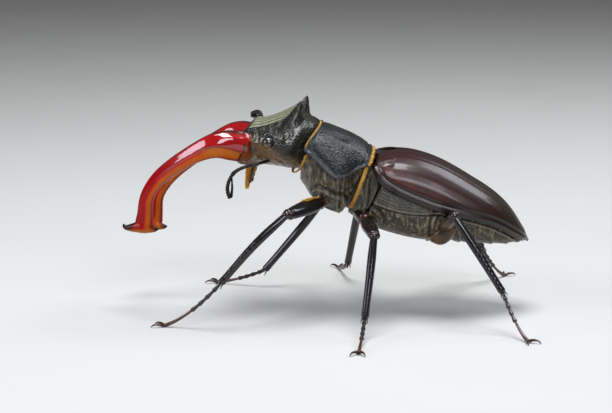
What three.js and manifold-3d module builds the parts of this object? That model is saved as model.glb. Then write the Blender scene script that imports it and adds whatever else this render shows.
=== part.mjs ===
// Large male stag beetle standing with its head raised.
// Millimetres, +Z up, the beetle looks along -X and its left side faces -Y.
// Thorax and abdomen are laid out in a level trunk frame (X to the tail, Z to the back, Y across)
// whose origin is the hind top edge of the pronotum, and the trunk is then tilted head-up.

import * as THREE from 'three';
import { mergeVertices } from 'three/addons/utils/BufferGeometryUtils.js';
import Module from 'manifold-3d';

const wasm = await Module();
wasm.setup();

// ---------------------------------------------------------------- driving dimensions

const GAP = 0.3; // clear space kept between neighbouring pieces
const SLIVER = 0.02; // edges shorter than this are merged away
const TRUNK_AT = [8.3, 0, 29.2]; // hind top edge of the pronotum above the floor
const TRUNK_PITCH = 25; // degrees, head up
const NECK_AT = [-10.5, 0, -5]; // turning point of the head, in the trunk frame
const HEAD_YAW = -9; // degrees, head turned to the beetle's right
const HEAD_ROLL = 2.2; // degrees, right side of the head higher

const ELYTRA_START = 0.7;
const ELYTRA_END = 32.1;
const ELYTRON_RIM = 0.7; // height of the downturned side rim
const SUTURE_GAP = 0.3;

const PRONOTUM_START = -10.3;
const PRONOTUM_END = -0.3;
const PRONOTUM_CORNER = 1.1; // how far the front corners reach ahead of the middle

const MESOTHORAX_START = 0;
const METATHORAX_START = 3.4;
const METATHORAX_END = 15.8;
const ABDOMEN_START = 16.1;
const ABDOMEN_END = 31.2;

const HEAD_BACK = -9.6;
const HEAD_FRONT = -21.9;
const RIM_AT = 5.2; // forehead rim, from the middle line
const CREST_AT = -14.9; // crest across the back of the head
const CREST_BACK = -12.6; // where its hind slope ends
const CREST_HEIGHT = 2.95;
const HORN_AT = 4.3; // its two raised ends, from the middle line
const HORN_FOOT = 7.6; // where their outer slopes end
const LABRUM_AT = [-22.9, -21.2, -9.4]; // front, back and height
const EYE_AT = [-16.5, 8.0, -6.0];
const EYE_RADII = [1.1, 1.05, 1.05];
const RIGHT_MANDIBLE_DROOP = 0.9; // how much lower its tip hangs than the left one's
const HIND_COXA_AT = [17.0, 4.8, -7.3]; // in the trunk frame, left and right alike
const HIND_COXA_RADII = [2.2, 4.1, 3.0];

const FEMUR_HALF = [0.85, 1.15]; // across and in the leg's plane
const TIBIA_HALF = [0.45, 0.52];
const TIBIA_BOW = { front: 1.1, mid: 0.3, hind: 0.2 }; // how far the middle bends outwards
const TARSUS_HALF = 0.36;
const CLAW_LENGTH = 2.1;

// Joints of each leg in the part's frame: hip, knee, ankle and toe.
const STANCE = {
  front_left: [[0.2, -4.6, 20.6], [-7.1, -14.7, 19.6], [-18.4, -17.6, 8.2], [-28.4, -15.4, 0.24]],
  front_right: [[0.2, 4.6, 20.6], [-1.2, 15.6, 16.0], [-11.5, 18.0, 3.2], [-20.6, 21.4, 0.24]],
  mid_left: [[6.6, -4.6, 17.2], [7.9, -16.9, 16.3], [6.2, -24.2, 3.6], [4.9, -35.3, 0.24]],
  mid_right: [[6.6, 4.6, 17.2], [6.2, 17.0, 15.8], [4.2, 24.2, 3.2], [2.6, 35.3, 0.24]],
  hind_left: [[20.3, -4.2, 14.9], [21.7, -15.9, 19.6], [29.8, -20.4, 7.2], [33.6, -27.2, 0.24]],
  hind_right: [[20.3, 4.2, 14.9], [21.9, 15.9, 19.4], [29.4, 20.6, 7.0], [34.4, 27.6, 0.24]],
};

// Spines of each pair of tibiae: place along the tibia and side of it.
const TIBIA_SPINES = {
  front: [[0.45, 1], [0.62, 1], [0.8, 1], [0.97, 1]],
  mid: [[0.5, 1], [0.96, -1]],
  hind: [[0.5, 1], [0.96, -1]],
};

// ---------------------------------------------------------------- materials

function finish(color, roughness, metalness = 0) {
  return new THREE.MeshStandardMaterial({ color, roughness, metalness });
}

const finishes = {
  shell: () => finish('#241416', 0.35),
  pronotum: () => finish('#1c1c1d', 0.5),
  head: () => finish('#1f1e1c', 0.45),
  underside: () => finish('#3a342b', 0.7),
  coxa: () => finish('#4a2419', 0.4),
  mandible: () => finish('#7d1512', 0.2),
  eye: () => finish('#4a2014', 0.25),
  leg: () => finish('#141416', 0.25),
  mouth: () => finish('#b8701c', 0.7),
};

// ---------------------------------------------------------------- shape helpers

const { lerp, smoothstep, degToRad } = THREE.MathUtils;

// Smooth curve through a few [x, value] pairs, held level beyond its ends.
function through(...pairs) {
  const slope = (i) => {
    const [x0, v0] = pairs[Math.max(i - 1, 0)];
    const [x1, v1] = pairs[Math.min(i + 1, pairs.length - 1)];
    return (v1 - v0) / (x1 - x0);
  };
  return (x) => {
    if (x <= pairs[0][0]) return pairs[0][1];
    if (x >= pairs.at(-1)[0]) return pairs.at(-1)[1];
    const i = pairs.findIndex(([end]) => x < end) - 1;
    const [x0, v0] = pairs[i];
    const [x1, v1] = pairs[i + 1];
    const width = x1 - x0;
    const u = (x - x0) / width;
    const hermite = (1 + 2 * u) * (1 - u) ** 2 * v0 + u * u * (3 - 2 * u) * v1;
    return hermite + width * (u * (1 - u) ** 2 * slope(i) - u * u * (1 - u) * slope(i + 1));
  };
}

// Bell of height 1 at the centre.
const bell = (x, centre, width) => Math.exp(-(((x - centre) / width) ** 2));

const steps = (from, to, count) =>
  Array.from({ length: count + 1 }, (_, i) => lerp(from, to, i / count));

function volumeOf(positions, indices) {
  const corner = (i) => new THREE.Vector3().fromArray(positions, 3 * i);
  let six = 0;
  for (let t = 0; t < indices.length; t += 3) {
    const [a, b, c] = [0, 1, 2].map((k) => corner(indices[t + k]));
    six += a.dot(b.cross(c));
  }
  return six;
}

// Closed body over rings of equal length, each end closed by a fan to its middle.
function loft(rings) {
  const n = rings[0].length;
  const points = rings.flat();
  const indices = [];
  for (let r = 0; r + 1 < rings.length; r++) {
    for (let k = 0; k < n; k++) {
      const a = r * n + k;
      const b = r * n + ((k + 1) % n);
      indices.push(a, b, b + n, a, b + n, a + n);
    }
  }
  const ends = [[0, false], [(rings.length - 1) * n, true]];
  for (const [first, last] of ends) {
    const middle = new THREE.Vector3();
    for (let k = 0; k < n; k++) middle.addScaledVector(points[first + k], 1 / n);
    const hub = points.push(middle) - 1;
    for (let k = 0; k < n; k++) {
      const a = first + k;
      const b = first + ((k + 1) % n);
      indices.push(hub, last ? a : b, last ? b : a);
    }
  }
  const positions = points.flatMap((p) => [p.x, p.y, p.z]);
  if (volumeOf(positions, indices) < 0) indices.reverse();
  const geometry = new THREE.BufferGeometry();
  geometry.setAttribute('position', new THREE.Float32BufferAttribute(positions, 3));
  geometry.setIndex(indices);
  return geometry;
}

// Body whose cross-sections stand across X: section(x) gives its [x, y, z] corners in order.
function loftAlongX(stations, section) {
  return loft(stations.map((x) => section(x).map((p) => new THREE.Vector3(...p))));
}

// Closed tube along a curve: half(u) gives its half-sizes across and along the bend's plane.
function tube(curve, half, { sides, count, grow = 0, plane = new THREE.Vector3(0, 0, 1) }) {
  const rings = steps(0, 1, count).map((u) => {
    const along = curve.getTangentAt(u);
    const across = new THREE.Vector3().crossVectors(along, plane).normalize();
    const inPlane = new THREE.Vector3().crossVectors(across, along);
    const reach = u === 0 ? -grow : u === 1 ? grow : 0;
    const centre = curve.getPointAt(u).addScaledVector(along, reach);
    const [a, b] = half(u).map((size) => size + grow);
    return steps(0, 2 * Math.PI, sides).slice(0, sides).map((angle) => centre.clone()
      .addScaledVector(across, a * Math.cos(angle))
      .addScaledVector(inPlane, b * Math.sin(angle)));
  });
  return loft(rings);
}

function bend(...points) {
  return new THREE.CatmullRomCurve3(points.map((p) => new THREE.Vector3(...p)), false, 'centripetal');
}

// ---------------------------------------------------------------- joining and cutting

function solid(geometry) {
  const bare = geometry.clone();
  bare.deleteAttribute('normal');
  bare.deleteAttribute('uv');
  const merged = mergeVertices(bare, 1e-4);
  return new wasm.Manifold(new wasm.Mesh({
    numProp: 3,
    vertProperties: new Float32Array(merged.attributes.position.array),
    triVerts: new Uint32Array(merged.index.array),
  }));
}

// The largest connected body of a solid, as a geometry without slivers.
function geometryOf(body) {
  const pieces = body.simplify(SLIVER).decompose().sort((a, b) => b.volume() - a.volume());
  const { vertProperties, triVerts } = pieces[0].getMesh();
  const geometry = new THREE.BufferGeometry();
  geometry.setAttribute('position', new THREE.Float32BufferAttribute(vertProperties, 3));
  geometry.setIndex(new THREE.Uint32BufferAttribute(triVerts, 1));
  return geometry;
}

const joined = (first, ...others) => others.reduce((body, next) => body.add(next), first);
const cut = (body, ...tools) => tools.reduce((rest, tool) => rest.subtract(tool), body);

const beetle = new THREE.Group();

function addPiece(name, body, material) {
  const geometry = geometryOf(body).toNonIndexed();
  geometry.computeVertexNormals();
  const mesh = new THREE.Mesh(geometry, material());
  mesh.name = name;
  beetle.add(mesh);
}

// ---------------------------------------------------------------- frames

const trunkFrame = new THREE.Matrix4()
  .makeRotationY(degToRad(TRUNK_PITCH))
  .setPosition(...TRUNK_AT);

const headFrame = new THREE.Matrix4()
  .makeTranslation(...NECK_AT)
  .multiply(new THREE.Matrix4().makeRotationZ(degToRad(HEAD_YAW)))
  .multiply(new THREE.Matrix4().makeRotationX(degToRad(HEAD_ROLL)))
  .multiply(new THREE.Matrix4().makeTranslation(...NECK_AT.map((v) => -v)))
  .premultiply(trunkFrame);

const inTrunk = (geometry) => solid(geometry.clone().applyMatrix4(trunkFrame));
const inHead = (geometry) => solid(geometry.clone().applyMatrix4(headFrame));
const inPart = (geometry) => solid(geometry);

function ellipsoid(centre, radii, grow = 0) {
  const ball = new THREE.SphereGeometry(1, 10, 6);
  ball.rotateX(Math.PI / 2);
  ball.scale(...radii.map((r) => r + grow));
  return ball.translate(...centre);
}

// ---------------------------------------------------------------- elytra and scutellum

const elytraWidth = through(
  [0.7, 7.3], [3, 8.9], [8, 9.6], [16, 9.5], [22, 8.5], [27, 6.3], [30.4, 3.5], [32.1, 0.8],
);
const elytraCrown = through(
  [0.7, -0.6], [3, 1.1], [7, 2.6], [12, 3.1], [18, 2.6], [23, 1.85], [26.5, 0.6], [30.5, -1.9], [32.1, -3.3],
);
const elytraEdge = through(
  [0.7, -2.2], [4, -3.9], [12, -3.9], [18, -3.1], [24, -2.3], [29, -2.8], [32.1, -3.5],
);
const elytraRim = (x) => ELYTRON_RIM * (1 - 0.75 * smoothstep(x, 29, ELYTRA_END));

// Half of a flattened dome: from the suture over to the side rim, then back underneath.
function elytronSection(side) {
  return (x) => {
    const width = elytraWidth(x);
    const edge = elytraEdge(x);
    const crown = elytraCrown(x);
    const inner = SUTURE_GAP / 2;
    const dome = steps(Math.PI / 2, 0, 6).map((t) => [
      x,
      side * (inner + (width - inner) * Math.cos(t) ** 0.88),
      edge + (crown - edge) * Math.sin(t) ** 0.88,
    ]);
    const under = edge - elytraRim(x);
    return [...dome, ...[width, lerp(inner, width, 0.5), inner].map((y) => [x, side * y, under])];
  };
}

// Small three-sided plate between the elytra's bases, whose top rises backwards.
const scutellum = (grow) => loftAlongX(steps(0.2 - 3 * grow, 3.4 + 2 * grow, 3), (x) => {
  const half = 2.3 * Math.max(1 - Math.max(x - 0.2, 0) / 4.2, 0.1) + grow;
  const top = -0.87 + 0.45 * Math.max(x, 0) + grow;
  return [[x, -half, -3], [x, half, -3], [x, half, top - 0.25], [x, 0, top], [x, -half, top - 0.25]];
});

addPiece('scutellum', inTrunk(scutellum(0)), finishes.pronotum);

const elytraStations = [
  ...steps(ELYTRA_START, 4, 3), ...steps(6, 26, 8), ...steps(27.6, ELYTRA_END, 5),
];
for (const [name, side] of [['elytron_left', -1], ['elytron_right', 1]]) {
  const shell = inTrunk(loftAlongX(elytraStations, elytronSection(side)));
  addPiece(name, cut(shell, inTrunk(scutellum(GAP))), finishes.shell);
}

// ---------------------------------------------------------------- pronotum and prothorax

const pronotumWidth = through(
  [-11, 7.3], [-9, 8.4], [-6.6, 9.3], [-4.7, 9.6], [-3.2, 9.0], [-1.8, 7.8], [0, 7.1],
);
const pronotumCrown = through([-11, 0.2], [-8.5, 0.45], [-5, 0.65], [-2.5, 0.5], [0, -0.15]);
const pronotumEdge = through(
  [-11, -4.4], [-9, -4.9], [-6.6, -6.0], [-4.7, -6.5], [-3.2, -5.7], [-1.8, -3.9], [0, -2.2],
);

// Reach of a prothorax section ahead of its middle: the front corners stand forward.
const cornerReach = (x, y, width) =>
  x - PRONOTUM_CORNER * (Math.abs(y) / width) ** 2.5 * smoothstep(-x, 6, -PRONOTUM_START);

function pronotumSection(x) {
  const width = pronotumWidth(x);
  const edge = pronotumEdge(x);
  const crown = pronotumCrown(x);
  const arc = (rise, base, half, count, from, to) => steps(from, to, count).map((t) => {
    const y = half * Math.cos(t);
    return [cornerReach(x, y, width), y, base + rise * Math.sin(t) ** 0.85];
  });
  const over = arc(crown - edge, edge, width, 12, 0, Math.PI);
  const under = arc(0.5 * (crown - edge), edge - 0.45, width - 0.25, 6, Math.PI, 0);
  return [...over, ...under];
}

const prothoraxBottom = through([-11, -9.5], [-9, -10.9], [-6, -12.4], [-3, -13.0], [0, -13.1]);

// Trunk of the prothorax: a vault that follows the pronotum's underside, and a keel-like belly.
function prothoraxSection(x) {
  const width = pronotumWidth(x) - 0.9;
  const edge = pronotumEdge(x) - 0.45 - GAP;
  const rise = 0.5 * (pronotumCrown(x) - pronotumEdge(x)) - GAP;
  const over = steps(0, Math.PI, 7).map((t) => [
    cornerReach(x, width * Math.cos(t), width), width * Math.cos(t), edge - GAP + rise * Math.sin(t)]);
  const belly = edge - prothoraxBottom(x);
  const under = steps(Math.PI, 2 * Math.PI, 9).slice(1, -1).map((t) => [
    cornerReach(x, width * Math.cos(t), width),
    width * Math.sign(Math.cos(t)) * Math.abs(Math.cos(t)) ** 0.9,
    edge - GAP + (belly - GAP) * Math.sin(t) * Math.abs(Math.sin(t)) ** 0.1]);
  return [...over, ...under];
}

// ---------------------------------------------------------------- mesothorax, metathorax, abdomen

const thoraxBottom = through([0, -11.9], [3, -12.5], [6, -12.7], [11, -12.0], [16, -10.7]);
const abdomenBottom = through([16, -8.2], [19.4, -8.9], [23.7, -7.5], [28, -5.7], [31.2, -3.9]);

// Section of the trunk under the elytra: a flat roof, upright flanks and a rounded belly.
function trunkSection(inset, bottom) {
  return (x) => {
    const width = elytraWidth(Math.max(x, 2)) - inset;
    const roof = elytraEdge(x) - ELYTRON_RIM - GAP;
    const deep = Math.min(bottom(x), roof - 0.6);
    const flank = lerp(roof, deep, 0.25);
    const bowl = steps(Math.PI, 2 * Math.PI, 8).map((t) => [
      x,
      width * Math.sign(Math.cos(t)) * Math.abs(Math.cos(t)) ** 0.8,
      flank + (flank - deep) * Math.sin(t),
    ]);
    return [[x, width - 0.3, roof], [x, -width + 0.3, roof], ...bowl];
  };
}

// Waist behind the pronotum: a full disc that closes the front of the elytra.
function waistSection(x) {
  return steps(0, 2 * Math.PI, 14).slice(0, 14).map((t) => {
    const tall = Math.sin(t) > 0 ? 5.1 : 6.0;
    return [x, 7.0 * Math.cos(t), -5.8 + tall * Math.sin(t)];
  });
}

// ---------------------------------------------------------------- head

const headWidth = through(
  [-21.9, 5.4], [-21, 6.9], [-19.4, 8.0], [-17.8, 8.35], [-16.2, 8.4], [-14.8, 8.8],
  [-13.4, 9.1], [-12.2, 8.9], [-11, 7.9], [-9.6, 6.2],
);
const headSide = through([-21.9, -8.6], [-20, -7.4], [-17, -6.3], [-14, -5.0], [-12, -4.2], [-9.6, -4.0]);
const headTop = through(
  [-21.9, -6.0], [-21.3, -4.2], [-19.6, -3.2], [-18.1, -1.8], [-16.9, -0.4], [-16.1, 0.6],
  [-15.2, 1.6], [-14.5, 1.3], [-13.7, 0.55], [-12.4, 0.3], [-9.6, 0.3],
);
const headBottom = through(
  [-21.9, -11.9], [-20, -12.7], [-18, -11.7], [-15.9, -10.7], [-13, -9.7], [-9.6, -9.0],
);

// Height of the crest above the head's vault: a wall across it with a raised end on each side,
// steep in front and on the inner side, sloping off behind and outwards.
function crestHeight(x, y) {
  const off = Math.abs(y);
  const top = CREST_AT - 0.15 * smoothstep(y, -1, 1);
  const rise = smoothstep(x, top - 1.35, top) * (1 - smoothstep(x, top, CREST_BACK));
  const slope = off < HORN_AT ? bell(off, HORN_AT, 1.05) : 1 - smoothstep(off, HORN_AT - 0.3, HORN_FOOT);
  return CREST_HEIGHT * rise * slope;
}

// Height of the head's upper surface: a vault falling to the sides, the crest,
// and a beaded rim with a furrow inside it along each side of the forehead.
function headRoof(x, y, grow) {
  const across = Math.min(Math.abs(y) / headWidth(x), 1);
  const fullness = lerp(1.8, 2.3, smoothstep(x, -15.2, -12.5));
  const softness = lerp(1, 0.75, smoothstep(x, -15, -12));
  const vault = (headTop(x) - headSide(x)) * Math.max(1 - across ** fullness, 0) ** softness;
  const forehead = smoothstep(x, -21.6, -20.8) * (1 - smoothstep(x, -17, -15.8));
  const bead = 0.45 * bell(Math.abs(y), RIM_AT, 0.45) - 0.35 * bell(Math.abs(y), RIM_AT - 1.2, 0.7);
  return headSide(x) + vault + crestHeight(x, y) + forehead * bead + grow;
}

function headSection(grow) {
  return (x) => {
    const width = headWidth(x) + grow;
    const side = headSide(x);
    const over = steps(0, Math.PI, 15).map((t) => {
      const atSide = t === 0 || t === Math.PI;
      return [x, width * Math.cos(t), atSide ? side : headRoof(x, headWidth(x) * Math.cos(t), grow)];
    });
    const deep = side - headBottom(x) + grow;
    const under = steps(Math.PI, 2 * Math.PI, 8).slice(1, -1).map((t) => [
      x, width * Math.sign(Math.cos(t)) * Math.abs(Math.cos(t)) ** 0.85, side + deep * Math.sin(t)]);
    return [...over, ...under];
  };
}

const headStations = [
  HEAD_FRONT, -21.3, -20.2, -18.8, -17.4, -16.4, -15.8, -15.4, -15, -14.6, -14, -13.2, -12, -10.7, HEAD_BACK,
];
const headBody = (grow) => inHead(loftAlongX(headStations, headSection(grow)));

// ---------------------------------------------------------------- mandibles

const mandibleTall = through(
  [0, 2.75], [0.14, 2.65], [0.2, 2.4], [0.31, 1.88], [0.43, 1.6], [0.64, 1.38],
  [0.8, 1.28], [0.9, 1.42], [1, 1.75],
);
const mandibleWide = through([0, 2.2], [0.2, 1.9], [0.5, 1.35], [0.8, 1.05], [1, 0.95]);
const mandibleShaft = [
  [-19.4, 5.0, -8.7], [-21.0, 6.6, -9.0], [-24.6, 8.8, -10.3], [-28.9, 8.2, -15.4],
  [-31.9, 6.0, -21.2], [-32.4, 5.0, -25.1], [-31.4, 4.7, -28.3], [-30.8, 4.6, -30.2],
];
const frontProng = [
  [-30.3, 4.6, -29.9], [-31.6, 4.5, -30.6], [-33.1, 4.35, -31.5], [-34.0, 4.3, -31.8], [-34.5, 4.3, -31.3],
];
const hindProng = [[-31.5, 4.6, -30.4], [-30.2, 4.5, -30.1], [-28.9, 4.35, -29.75], [-28.2, 4.3, -29.3]];
const innerTooth = [[-31.9, 6.0, -21.0], [-32.0, 4.3, -21.6], [-32.1, 2.9, -22.5]];

// Shaft that bows outwards and sweeps down, an inner tooth past its middle, and an anchor-like tip.
function mandible(side, grow = 0) {
  const droop = side > 0 ? RIGHT_MANDIBLE_DROOP : 0;
  const hung = ([x, y, z]) => [x, side * y, z - droop * smoothstep(-z, 11, 26)];
  const along = (points) => bend(...points.map(hung));
  const shaft = tube(along(mandibleShaft), (u) => [mandibleTall(u), mandibleWide(u)], {
    sides: 8, count: 12, grow, plane: new THREE.Vector3(0, 1, 0),
  });
  const spike = (points, wide) => tube(along(points), (u) => Array(2).fill(lerp(wide, 0.2, u ** 1.6)), {
    sides: 6, count: 3, grow, plane: new THREE.Vector3(0, 1, 0.2),
  });
  const spikes = [spike(frontProng, 1.2), spike(hindProng, 1.2), spike(innerTooth, 0.95)];
  return joined(...[shaft, ...spikes].map(inHead));
}

const eye = (side, grow = 0) =>
  inHead(ellipsoid([EYE_AT[0], side * EYE_AT[1], EYE_AT[2]], EYE_RADII, grow));

// ---------------------------------------------------------------- antennae and mouthparts

const antennaPaths = {
  left: {
    scape: [[-15.0, -6.0, -8.9], [-16.6, -7.8, -10.1], [-18.0, -8.3, -11.2], [-19.0, -8.7, -12.2],
      [-19.6, -9.1, -13.2], [-19.72, -9.3, -13.75]],
    club: [[-19.72, -9.35, -14.1], [-19.5, -9.35, -14.9], [-19.2, -9.25, -15.8], [-18.85, -9.15, -16.8],
      [-18.3, -9.1, -17.55]],
  },
  right: {
    scape: [[-15.6, 6.8, -8.4], [-18.3, 9.6, -7.6], [-20.5, 11.4, -6.3], [-21.95, 12.45, -5.75]],
    club: [[-22.25, 12.85, -5.7], [-22.55, 13.7, -5.85], [-23.1, 14.8, -6.1], [-23.65, 15.8, -6.6],
      [-24.15, 16.6, -6.95]],
  },
};

// Long first joint of the antenna, and its elbowed club, flattened and widest at its middle.
function antenna({ scape, club }) {
  const shaft = tube(bend(...scape), (u) => Array(2).fill(0.27 + 0.06 * u), { sides: 6, count: 5 });
  const fan = tube(bend(...club), (u) => [0.3 + 0.32 * Math.sin(Math.PI * u), 0.3], {
    sides: 6, count: 5, plane: new THREE.Vector3(0, 1, 0),
  });
  return { shaft: inHead(shaft), fan: inHead(fan) };
}

// Upper lip: oval sections that widen backwards.
const labrum = (grow = 0) => {
  const [front, back, height] = LABRUM_AT;
  return inHead(loftAlongX(steps(front, back, 2), (x) => {
    const half = lerp(1.2, 2.4, (x - front) / (back - front)) + grow;
    return steps(0, 2 * Math.PI, 10).slice(0, 10)
      .map((t) => [x, half * Math.cos(t), height + (0.9 + grow) * Math.sin(t)]);
  }));
};

function palp(side, grow = 0) {
  const half = (u) => 0.25 + 0.08 * Math.sin(3 * Math.PI * u) ** 2;
  const path = [[-17.8, 1.7, -11.4], [-17.7, 1.4, -13.0], [-17.5, 1.1, -14.3], [-17.3, 0.95, -15.2]];
  const line = bend(...path.map(([x, y, z]) => [x, side * y, z]));
  return inHead(tube(line, (u) => [half(u), half(u)], { sides: 5, count: 6, grow }));
}

const brushPath = [[-18.5, 0, -11.9], [-18.1, 0, -13.8], [-17.7, 0, -15.6], [-17.35, 0, -16.8]];
const brush = (grow = 0) => inHead(tube(bend(...brushPath), (u) => [1.05 - 0.68 * u, 0.55 - 0.26 * u], {
  sides: 7, count: 4, grow, plane: new THREE.Vector3(0, 1, 0),
}));

// ---------------------------------------------------------------- legs

const asPoint = (p) => new THREE.Vector3(...p);
const straight = (from, to) => new THREE.LineCurve3(from.clone(), to.clone());
const towards = (from, to, distance) => to.clone().sub(from).setLength(distance).add(from);

function legParts(name) {
  const [pair] = name.split('_');
  const [hip, knee, ankle, toe] = STANCE[name].map(asPoint);
  const side = Math.sign(hip.y);
  const plane = new THREE.Vector3().crossVectors(knee.clone().sub(hip), ankle.clone().sub(knee)).normalize();

  const coxaReach = new THREE.Vector3(-0.4, -side * 2.6, 1.2);
  const socket = (grow) => inPart(tube(
    straight(hip.clone().add(coxaReach), towards(hip, knee, 1.9)),
    (u) => [1.75 - 0.75 * u ** 2, 1.9 - 0.85 * u ** 2], { sides: 9, count: 3, grow, plane }));
  const [lobeX, lobeY, lobeZ] = HIND_COXA_AT;
  const lobe = (grow) => inTrunk(ellipsoid([lobeX, side * lobeY, lobeZ], HIND_COXA_RADII, grow));
  const coxa = (grow) => (pair === 'hind' ? joined(socket(grow), lobe(grow)) : socket(grow));

  const femurProfile = through([0, 0.95], [0.3, 1.22], [0.7, 1.1], [0.92, 0.94], [1, 0.75]);
  const femur = (grow) => inPart(tube(
    straight(towards(hip, knee, 2.2), knee), (u) => FEMUR_HALF.map((h) => h * femurProfile(u)),
    { sides: 8, count: 5, grow, plane }));

  const tibiaProfile = through([0, 1.15], [0.1, 1.28], [0.3, 1.35], [0.6, 1.25], [0.9, 1.15], [1, 1.3]);
  const along = ankle.clone().sub(knee).normalize();
  const outwards = new THREE.Vector3().crossVectors(along, plane).normalize();
  const tibiaMiddle = knee.clone().lerp(ankle, 0.45).addScaledVector(outwards, TIBIA_BOW[pair]);
  const tibiaCurve = new THREE.CatmullRomCurve3([towards(knee, ankle, -0.2), tibiaMiddle, ankle]);
  const tibiaShaft = (grow) => inPart(tube(
    tibiaCurve, (u) => TIBIA_HALF.map((h) => h * tibiaProfile(u)), { sides: 6, count: 4, grow, plane }));
  const spines = TIBIA_SPINES[pair].map(([place, which]) => {
    const root = tibiaCurve.getPointAt(place).addScaledVector(outwards, 0.2 * which);
    const tip = root.clone().addScaledVector(outwards, 1.1 * which).addScaledVector(along, 0.65);
    const half = (u) => Array(2).fill(0.3 - 0.16 * u);
    return inPart(tube(straight(root, tip), half, { sides: 4, count: 1, plane: along }));
  });

  // Four short joints and a long one, thickest at the far end of each, and two claws.
  const landing = ankle.clone().lerp(toe, 0.55);
  landing.z = lerp(ankle.z, toe.z, 0.8);
  const footCurve = new THREE.QuadraticBezierCurve3(towards(ankle, landing, 0.35), landing, toe);
  const joints = [0, 0.15, 0.29, 0.42, 0.55, 1];
  const stations = joints.slice(0, -1).flatMap((start, i) => {
    const end = joints[i + 1];
    return [[start, 0.78], [lerp(start, end, 0.85), 1.18]];
  });
  stations.push([1, 0.9]);
  const tarsus = loft(stations.map(([u, wide]) => {
    const heading = footCurve.getTangentAt(u);
    const across = new THREE.Vector3().crossVectors(heading, new THREE.Vector3(0, 0, 1)).normalize();
    const up = new THREE.Vector3().crossVectors(across, heading);
    return steps(0, 2 * Math.PI, 5).slice(0, 5).map((angle) => footCurve.getPointAt(u)
      .addScaledVector(across, wide * TARSUS_HALF * Math.cos(angle))
      .addScaledVector(up, wide * TARSUS_HALF * Math.sin(angle)));
  }));
  const heading = toe.clone().sub(landing).setZ(0).normalize();
  const claws = [-1, 1].map((hand) => {
    const across = new THREE.Vector3(-heading.y, heading.x, 0).multiplyScalar(hand);
    const point = (ahead, aside, height) => toe.clone().addScaledVector(heading, ahead * CLAW_LENGTH)
      .addScaledVector(across, aside * CLAW_LENGTH).setZ(height);
    const curve = new THREE.CatmullRomCurve3([
      point(-0.1, 0.02, toe.z), point(0.3, 0.28, 0.55), point(0.72, 0.52, 0.5), point(0.95, 0.6, 0.12)]);
    return inPart(tube(curve, (u) => [0.28 - 0.12 * u, 0.28 - 0.12 * u], { sides: 4, count: 3 }));
  });
  return { coxa, femur, tibiaShaft, spines, foot: joined(inPart(tarsus), ...claws) };
}

const belowFloor = inPart(new THREE.BoxGeometry(200, 200, 10).translate(0, 0, -5));

const legs = Object.keys(STANCE).map((name) => ({ name, ...legParts(name) }));

// ---------------------------------------------------------------- assembly

const coxaClearance = legs.map((leg) => leg.coxa(GAP));
const femurClearance = legs.map((leg) => leg.femur(GAP));

const pronotumBody = inTrunk(loftAlongX(steps(PRONOTUM_START, PRONOTUM_END, 9), pronotumSection));
addPiece('pronotum', cut(pronotumBody, headBody(GAP)), finishes.pronotum);
addPiece('prothorax', cut(
  inTrunk(loftAlongX(steps(PRONOTUM_START + 0.4, PRONOTUM_END, 6), prothoraxSection)),
  headBody(GAP), ...coxaClearance.slice(0, 2), ...femurClearance.slice(0, 2),
), finishes.underside);
addPiece('mesothorax', cut(
  joined(
    inTrunk(loftAlongX([MESOTHORAX_START, ELYTRA_START - GAP], waistSection)),
    inTrunk(loftAlongX([MESOTHORAX_START + 0.2, METATHORAX_START - GAP], trunkSection(1.2, thoraxBottom))),
  ),
  inTrunk(scutellum(GAP)), ...coxaClearance.slice(0, 4), ...femurClearance.slice(2, 4),
), finishes.underside);
addPiece('metathorax', cut(
  inTrunk(loftAlongX(steps(METATHORAX_START, METATHORAX_END, 4), trunkSection(0.5, thoraxBottom))),
  ...coxaClearance.slice(2), ...femurClearance.slice(2),
), finishes.underside);
addPiece('abdomen', cut(
  inTrunk(loftAlongX(steps(ABDOMEN_START, ABDOMEN_END, 6), trunkSection(0.8, abdomenBottom))),
  ...coxaClearance.slice(4), ...femurClearance.slice(4),
), finishes.underside);

addPiece('head', cut(
  headBody(0), mandible(-1, GAP), mandible(1, GAP), eye(-1, GAP), eye(1, GAP),
  labrum(GAP), palp(-1, GAP), palp(1, GAP), brush(GAP),
), finishes.head);
for (const [hand, side] of [['left', -1], ['right', 1]]) {
  addPiece(`eye_${hand}`, eye(side), finishes.eye);
  addPiece(`mandible_${hand}`, mandible(side), finishes.mandible);
  const { shaft, fan } = antenna(antennaPaths[hand]);
  addPiece(`antenna_scape_${hand}`, cut(shaft, headBody(GAP)), finishes.leg);
  addPiece(`antenna_club_${hand}`, fan, finishes.leg);
  addPiece(`palp_${hand}`, cut(palp(side), brush(GAP)), finishes.leg);
}
addPiece('labrum', cut(labrum(), mandible(-1, GAP), mandible(1, GAP)), finishes.head);
addPiece('mouth_brush', brush(), finishes.mouth);

for (const { name, coxa, femur, tibiaShaft, spines, foot } of legs) {
  addPiece(`coxa_${name}`, coxa(0), finishes.coxa);
  addPiece(`femur_${name}`, cut(femur(0), coxa(GAP)), finishes.leg);
  addPiece(`tibia_${name}`, cut(joined(tibiaShaft(0), ...spines), femur(GAP)), finishes.leg);
  addPiece(`tarsus_${name}`, cut(foot, tibiaShaft(GAP), belowFloor), finishes.leg);
}

export default beetle;
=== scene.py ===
# Large male stag beetle standing with its head raised, as a life-size still model.
# Shapes are worked out in millimetres and put down in metres.
# Trunk frame: X to the tail, Y to the beetle's right, Z to its back; the head has a frame of its own.

from functools import cached_property

import bpy
import numpy as np
from mathutils import Matrix


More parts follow.
